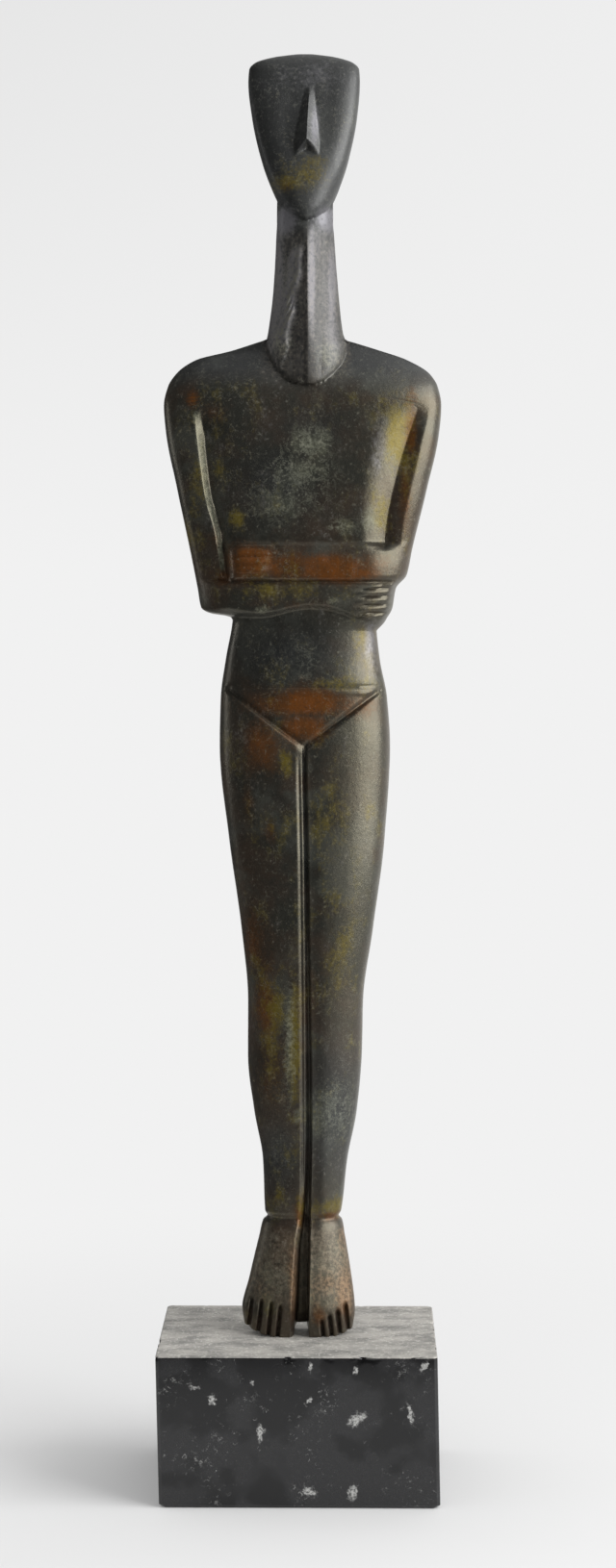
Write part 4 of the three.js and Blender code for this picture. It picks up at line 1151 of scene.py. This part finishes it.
# %% The floor
SURROUND = 0.88
far = 30.0
floor_mesh = bpy.data.meshes.new("floor")
floor_mesh.from_pydata([(-far, -far, 0), (far, -far, 0), (far, far, 0), (-far, far, 0)], [], [(0, 1, 2, 3)])
floor = bpy.data.objects.new("floor", floor_mesh)
bpy.context.scene.collection.objects.link(floor)
board = bpy.data.materials.new("pale painted board")
board.use_nodes = True
# Flat paint has no gloss, so the board mirrors nothing and only takes the shadow
tree = board.node_tree
tree.nodes.clear()
ground_at = add_node(tree, "ShaderNodeTexCoord").outputs["Object"]
away = add_node(tree, "ShaderNodeVectorMath", {0: ground_at}, operation="LENGTH")
# A tenth of the glow stays near the object, painted light that lightens the shadow
fade = add_node(tree, "ShaderNodeMapRange", {
    "Value": away.outputs["Value"], "From Min": 0.05, "From Max": 0.5, "To Min": 0.1},
    interpolation_type="SMOOTHSTEP")
paint = add_node(tree, "ShaderNodeBsdfDiffuse", {"Color": (0.64, 0.64, 0.64, 1)})
glow = add_node(tree, "ShaderNodeEmission", {"Color": (SURROUND, SURROUND, SURROUND, 1), "Strength": 1.0})
mixed = add_node(tree, "ShaderNodeMixShader", {0: fade, 1: paint, 2: glow})
add_node(tree, "ShaderNodeOutputMaterial", {"Surface": mixed})
floor_mesh.materials.append(board)
floor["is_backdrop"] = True
print(f"floor {2 * far:.0f} m wide")

# %% [markdown]
# The surrounding is one even pale tone, a little darker towards the upper right.

# %% The surrounding
world = bpy.data.worlds.new("surrounding")
world.use_nodes = True
tree = world.node_tree
way = add_node(tree, "ShaderNodeSeparateXYZ", {0: add_node(tree, "ShaderNodeTexCoord").outputs["Generated"]})
across = add_node(tree, "ShaderNodeMath", {0: way.outputs["X"], 1: -1.8, 2: 0.3}, operation="MULTIPLY_ADD")
slant = add_node(tree, "ShaderNodeMath", {0: across, 1: way.outputs["Z"]}, operation="MULTIPLY")
tone = add_node(tree, "ShaderNodeMapRange", {
    "Value": slant, "From Min": 0.0, "From Max": 0.1, "To Min": SURROUND, "To Max": SURROUND - 0.1})
tree.links.new(tone.outputs[0], tree.nodes["Background"].inputs["Color"])
bpy.context.scene.world = world
bpy.context.scene.view_settings.view_transform = "Standard"
print(f"surrounding tone {SURROUND}")

# %% [markdown]
# Dark metal is lit by what it mirrors. A large window on the right gives the long streaks down that side,
# and a low strip on the left gives its thin rim.

# %% Lights
def soft_box(name, place, aim, wide, high, radiance):
    data = bpy.data.lights.new(name, "AREA")
    data.shape = "RECTANGLE"
    data.size, data.size_y = wide, high
    data.energy = radiance * math.pi * wide * high
    light = bpy.data.objects.new(name, data)
    light.location = place
    light.rotation_euler = (Vector(aim) - Vector(place)).to_track_quat("-Z", "Y").to_euler()
    bpy.context.scene.collection.objects.link(light)
    print(f"{name}: {wide} by {high} m")


soft_box("window on the right", (1.27, -0.57, 0.8), (0, 0, 0.5), 1.4, 1.6, 5.6)
soft_box("strip on the left", (-1.25, 0.4, 0.38), (0, 0, 0.3), 0.2, 0.6, 2.4)

# %% [markdown]
# A dome of grey cloth stands for the unlit side of the room, round the front and the left. Only reflections
# see it: it casts no shadow, takes no part in the soft light, and the camera looks through it. It keeps the
# front of the figure deep. Its foot comes in close along the floor, so that the block mirrors no bright
# floor.

# %% The dome of grey cloth
ACROSS, UP = 24, 10
turn = np.radians(np.linspace(-165, 22, ACROSS + 1))[None, :]
climb = np.radians(np.linspace(0, 78, UP))[:, None]
dome = 1.8 * np.stack([
    np.sin(turn) * np.cos(climb), -np.cos(turn) * np.cos(climb), np.sin(climb) + 0 * turn], axis=-1)
foot = np.stack([0.24 * np.sin(turn), -0.24 * np.cos(turn), 0.002 + 0 * turn], axis=-1)
dome = np.concatenate([foot, dome])
row = ACROSS + 1
starts = [r * row + c for r in range(UP) for c in range(ACROSS)]
cells = [(i, i + 1, i + row + 1, i + row) for i in starts]
screen_mesh = bpy.data.meshes.new("dark_screen")
screen_mesh.from_pydata(dome.reshape(-1, 3).tolist(), [], cells)
screen = bpy.data.objects.new("dark_screen", screen_mesh)
bpy.context.scene.collection.objects.link(screen)
# Matte cloth is an even grey from every side, which leaves no edge of its own in the metal
cloth = bpy.data.materials.new("grey cloth")
cloth.use_nodes = True
cloth.node_tree.nodes["Principled BSDF"].inputs["Base Color"].default_value = linear("#3a3a3a")
cloth.node_tree.nodes["Principled BSDF"].inputs["Roughness"].default_value = 1
screen_mesh.materials.append(cloth)
screen.visible_camera = screen.visible_diffuse = screen.visible_shadow = False
screen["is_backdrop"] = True
print(f"dome of {len(cells)} faces")

# %% [markdown]
# Last, the visual model's box is measured and printed.

# %% Finish
low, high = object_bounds()
print("visual box", [round(v * 1000, 2) for v in (*low, *high)])
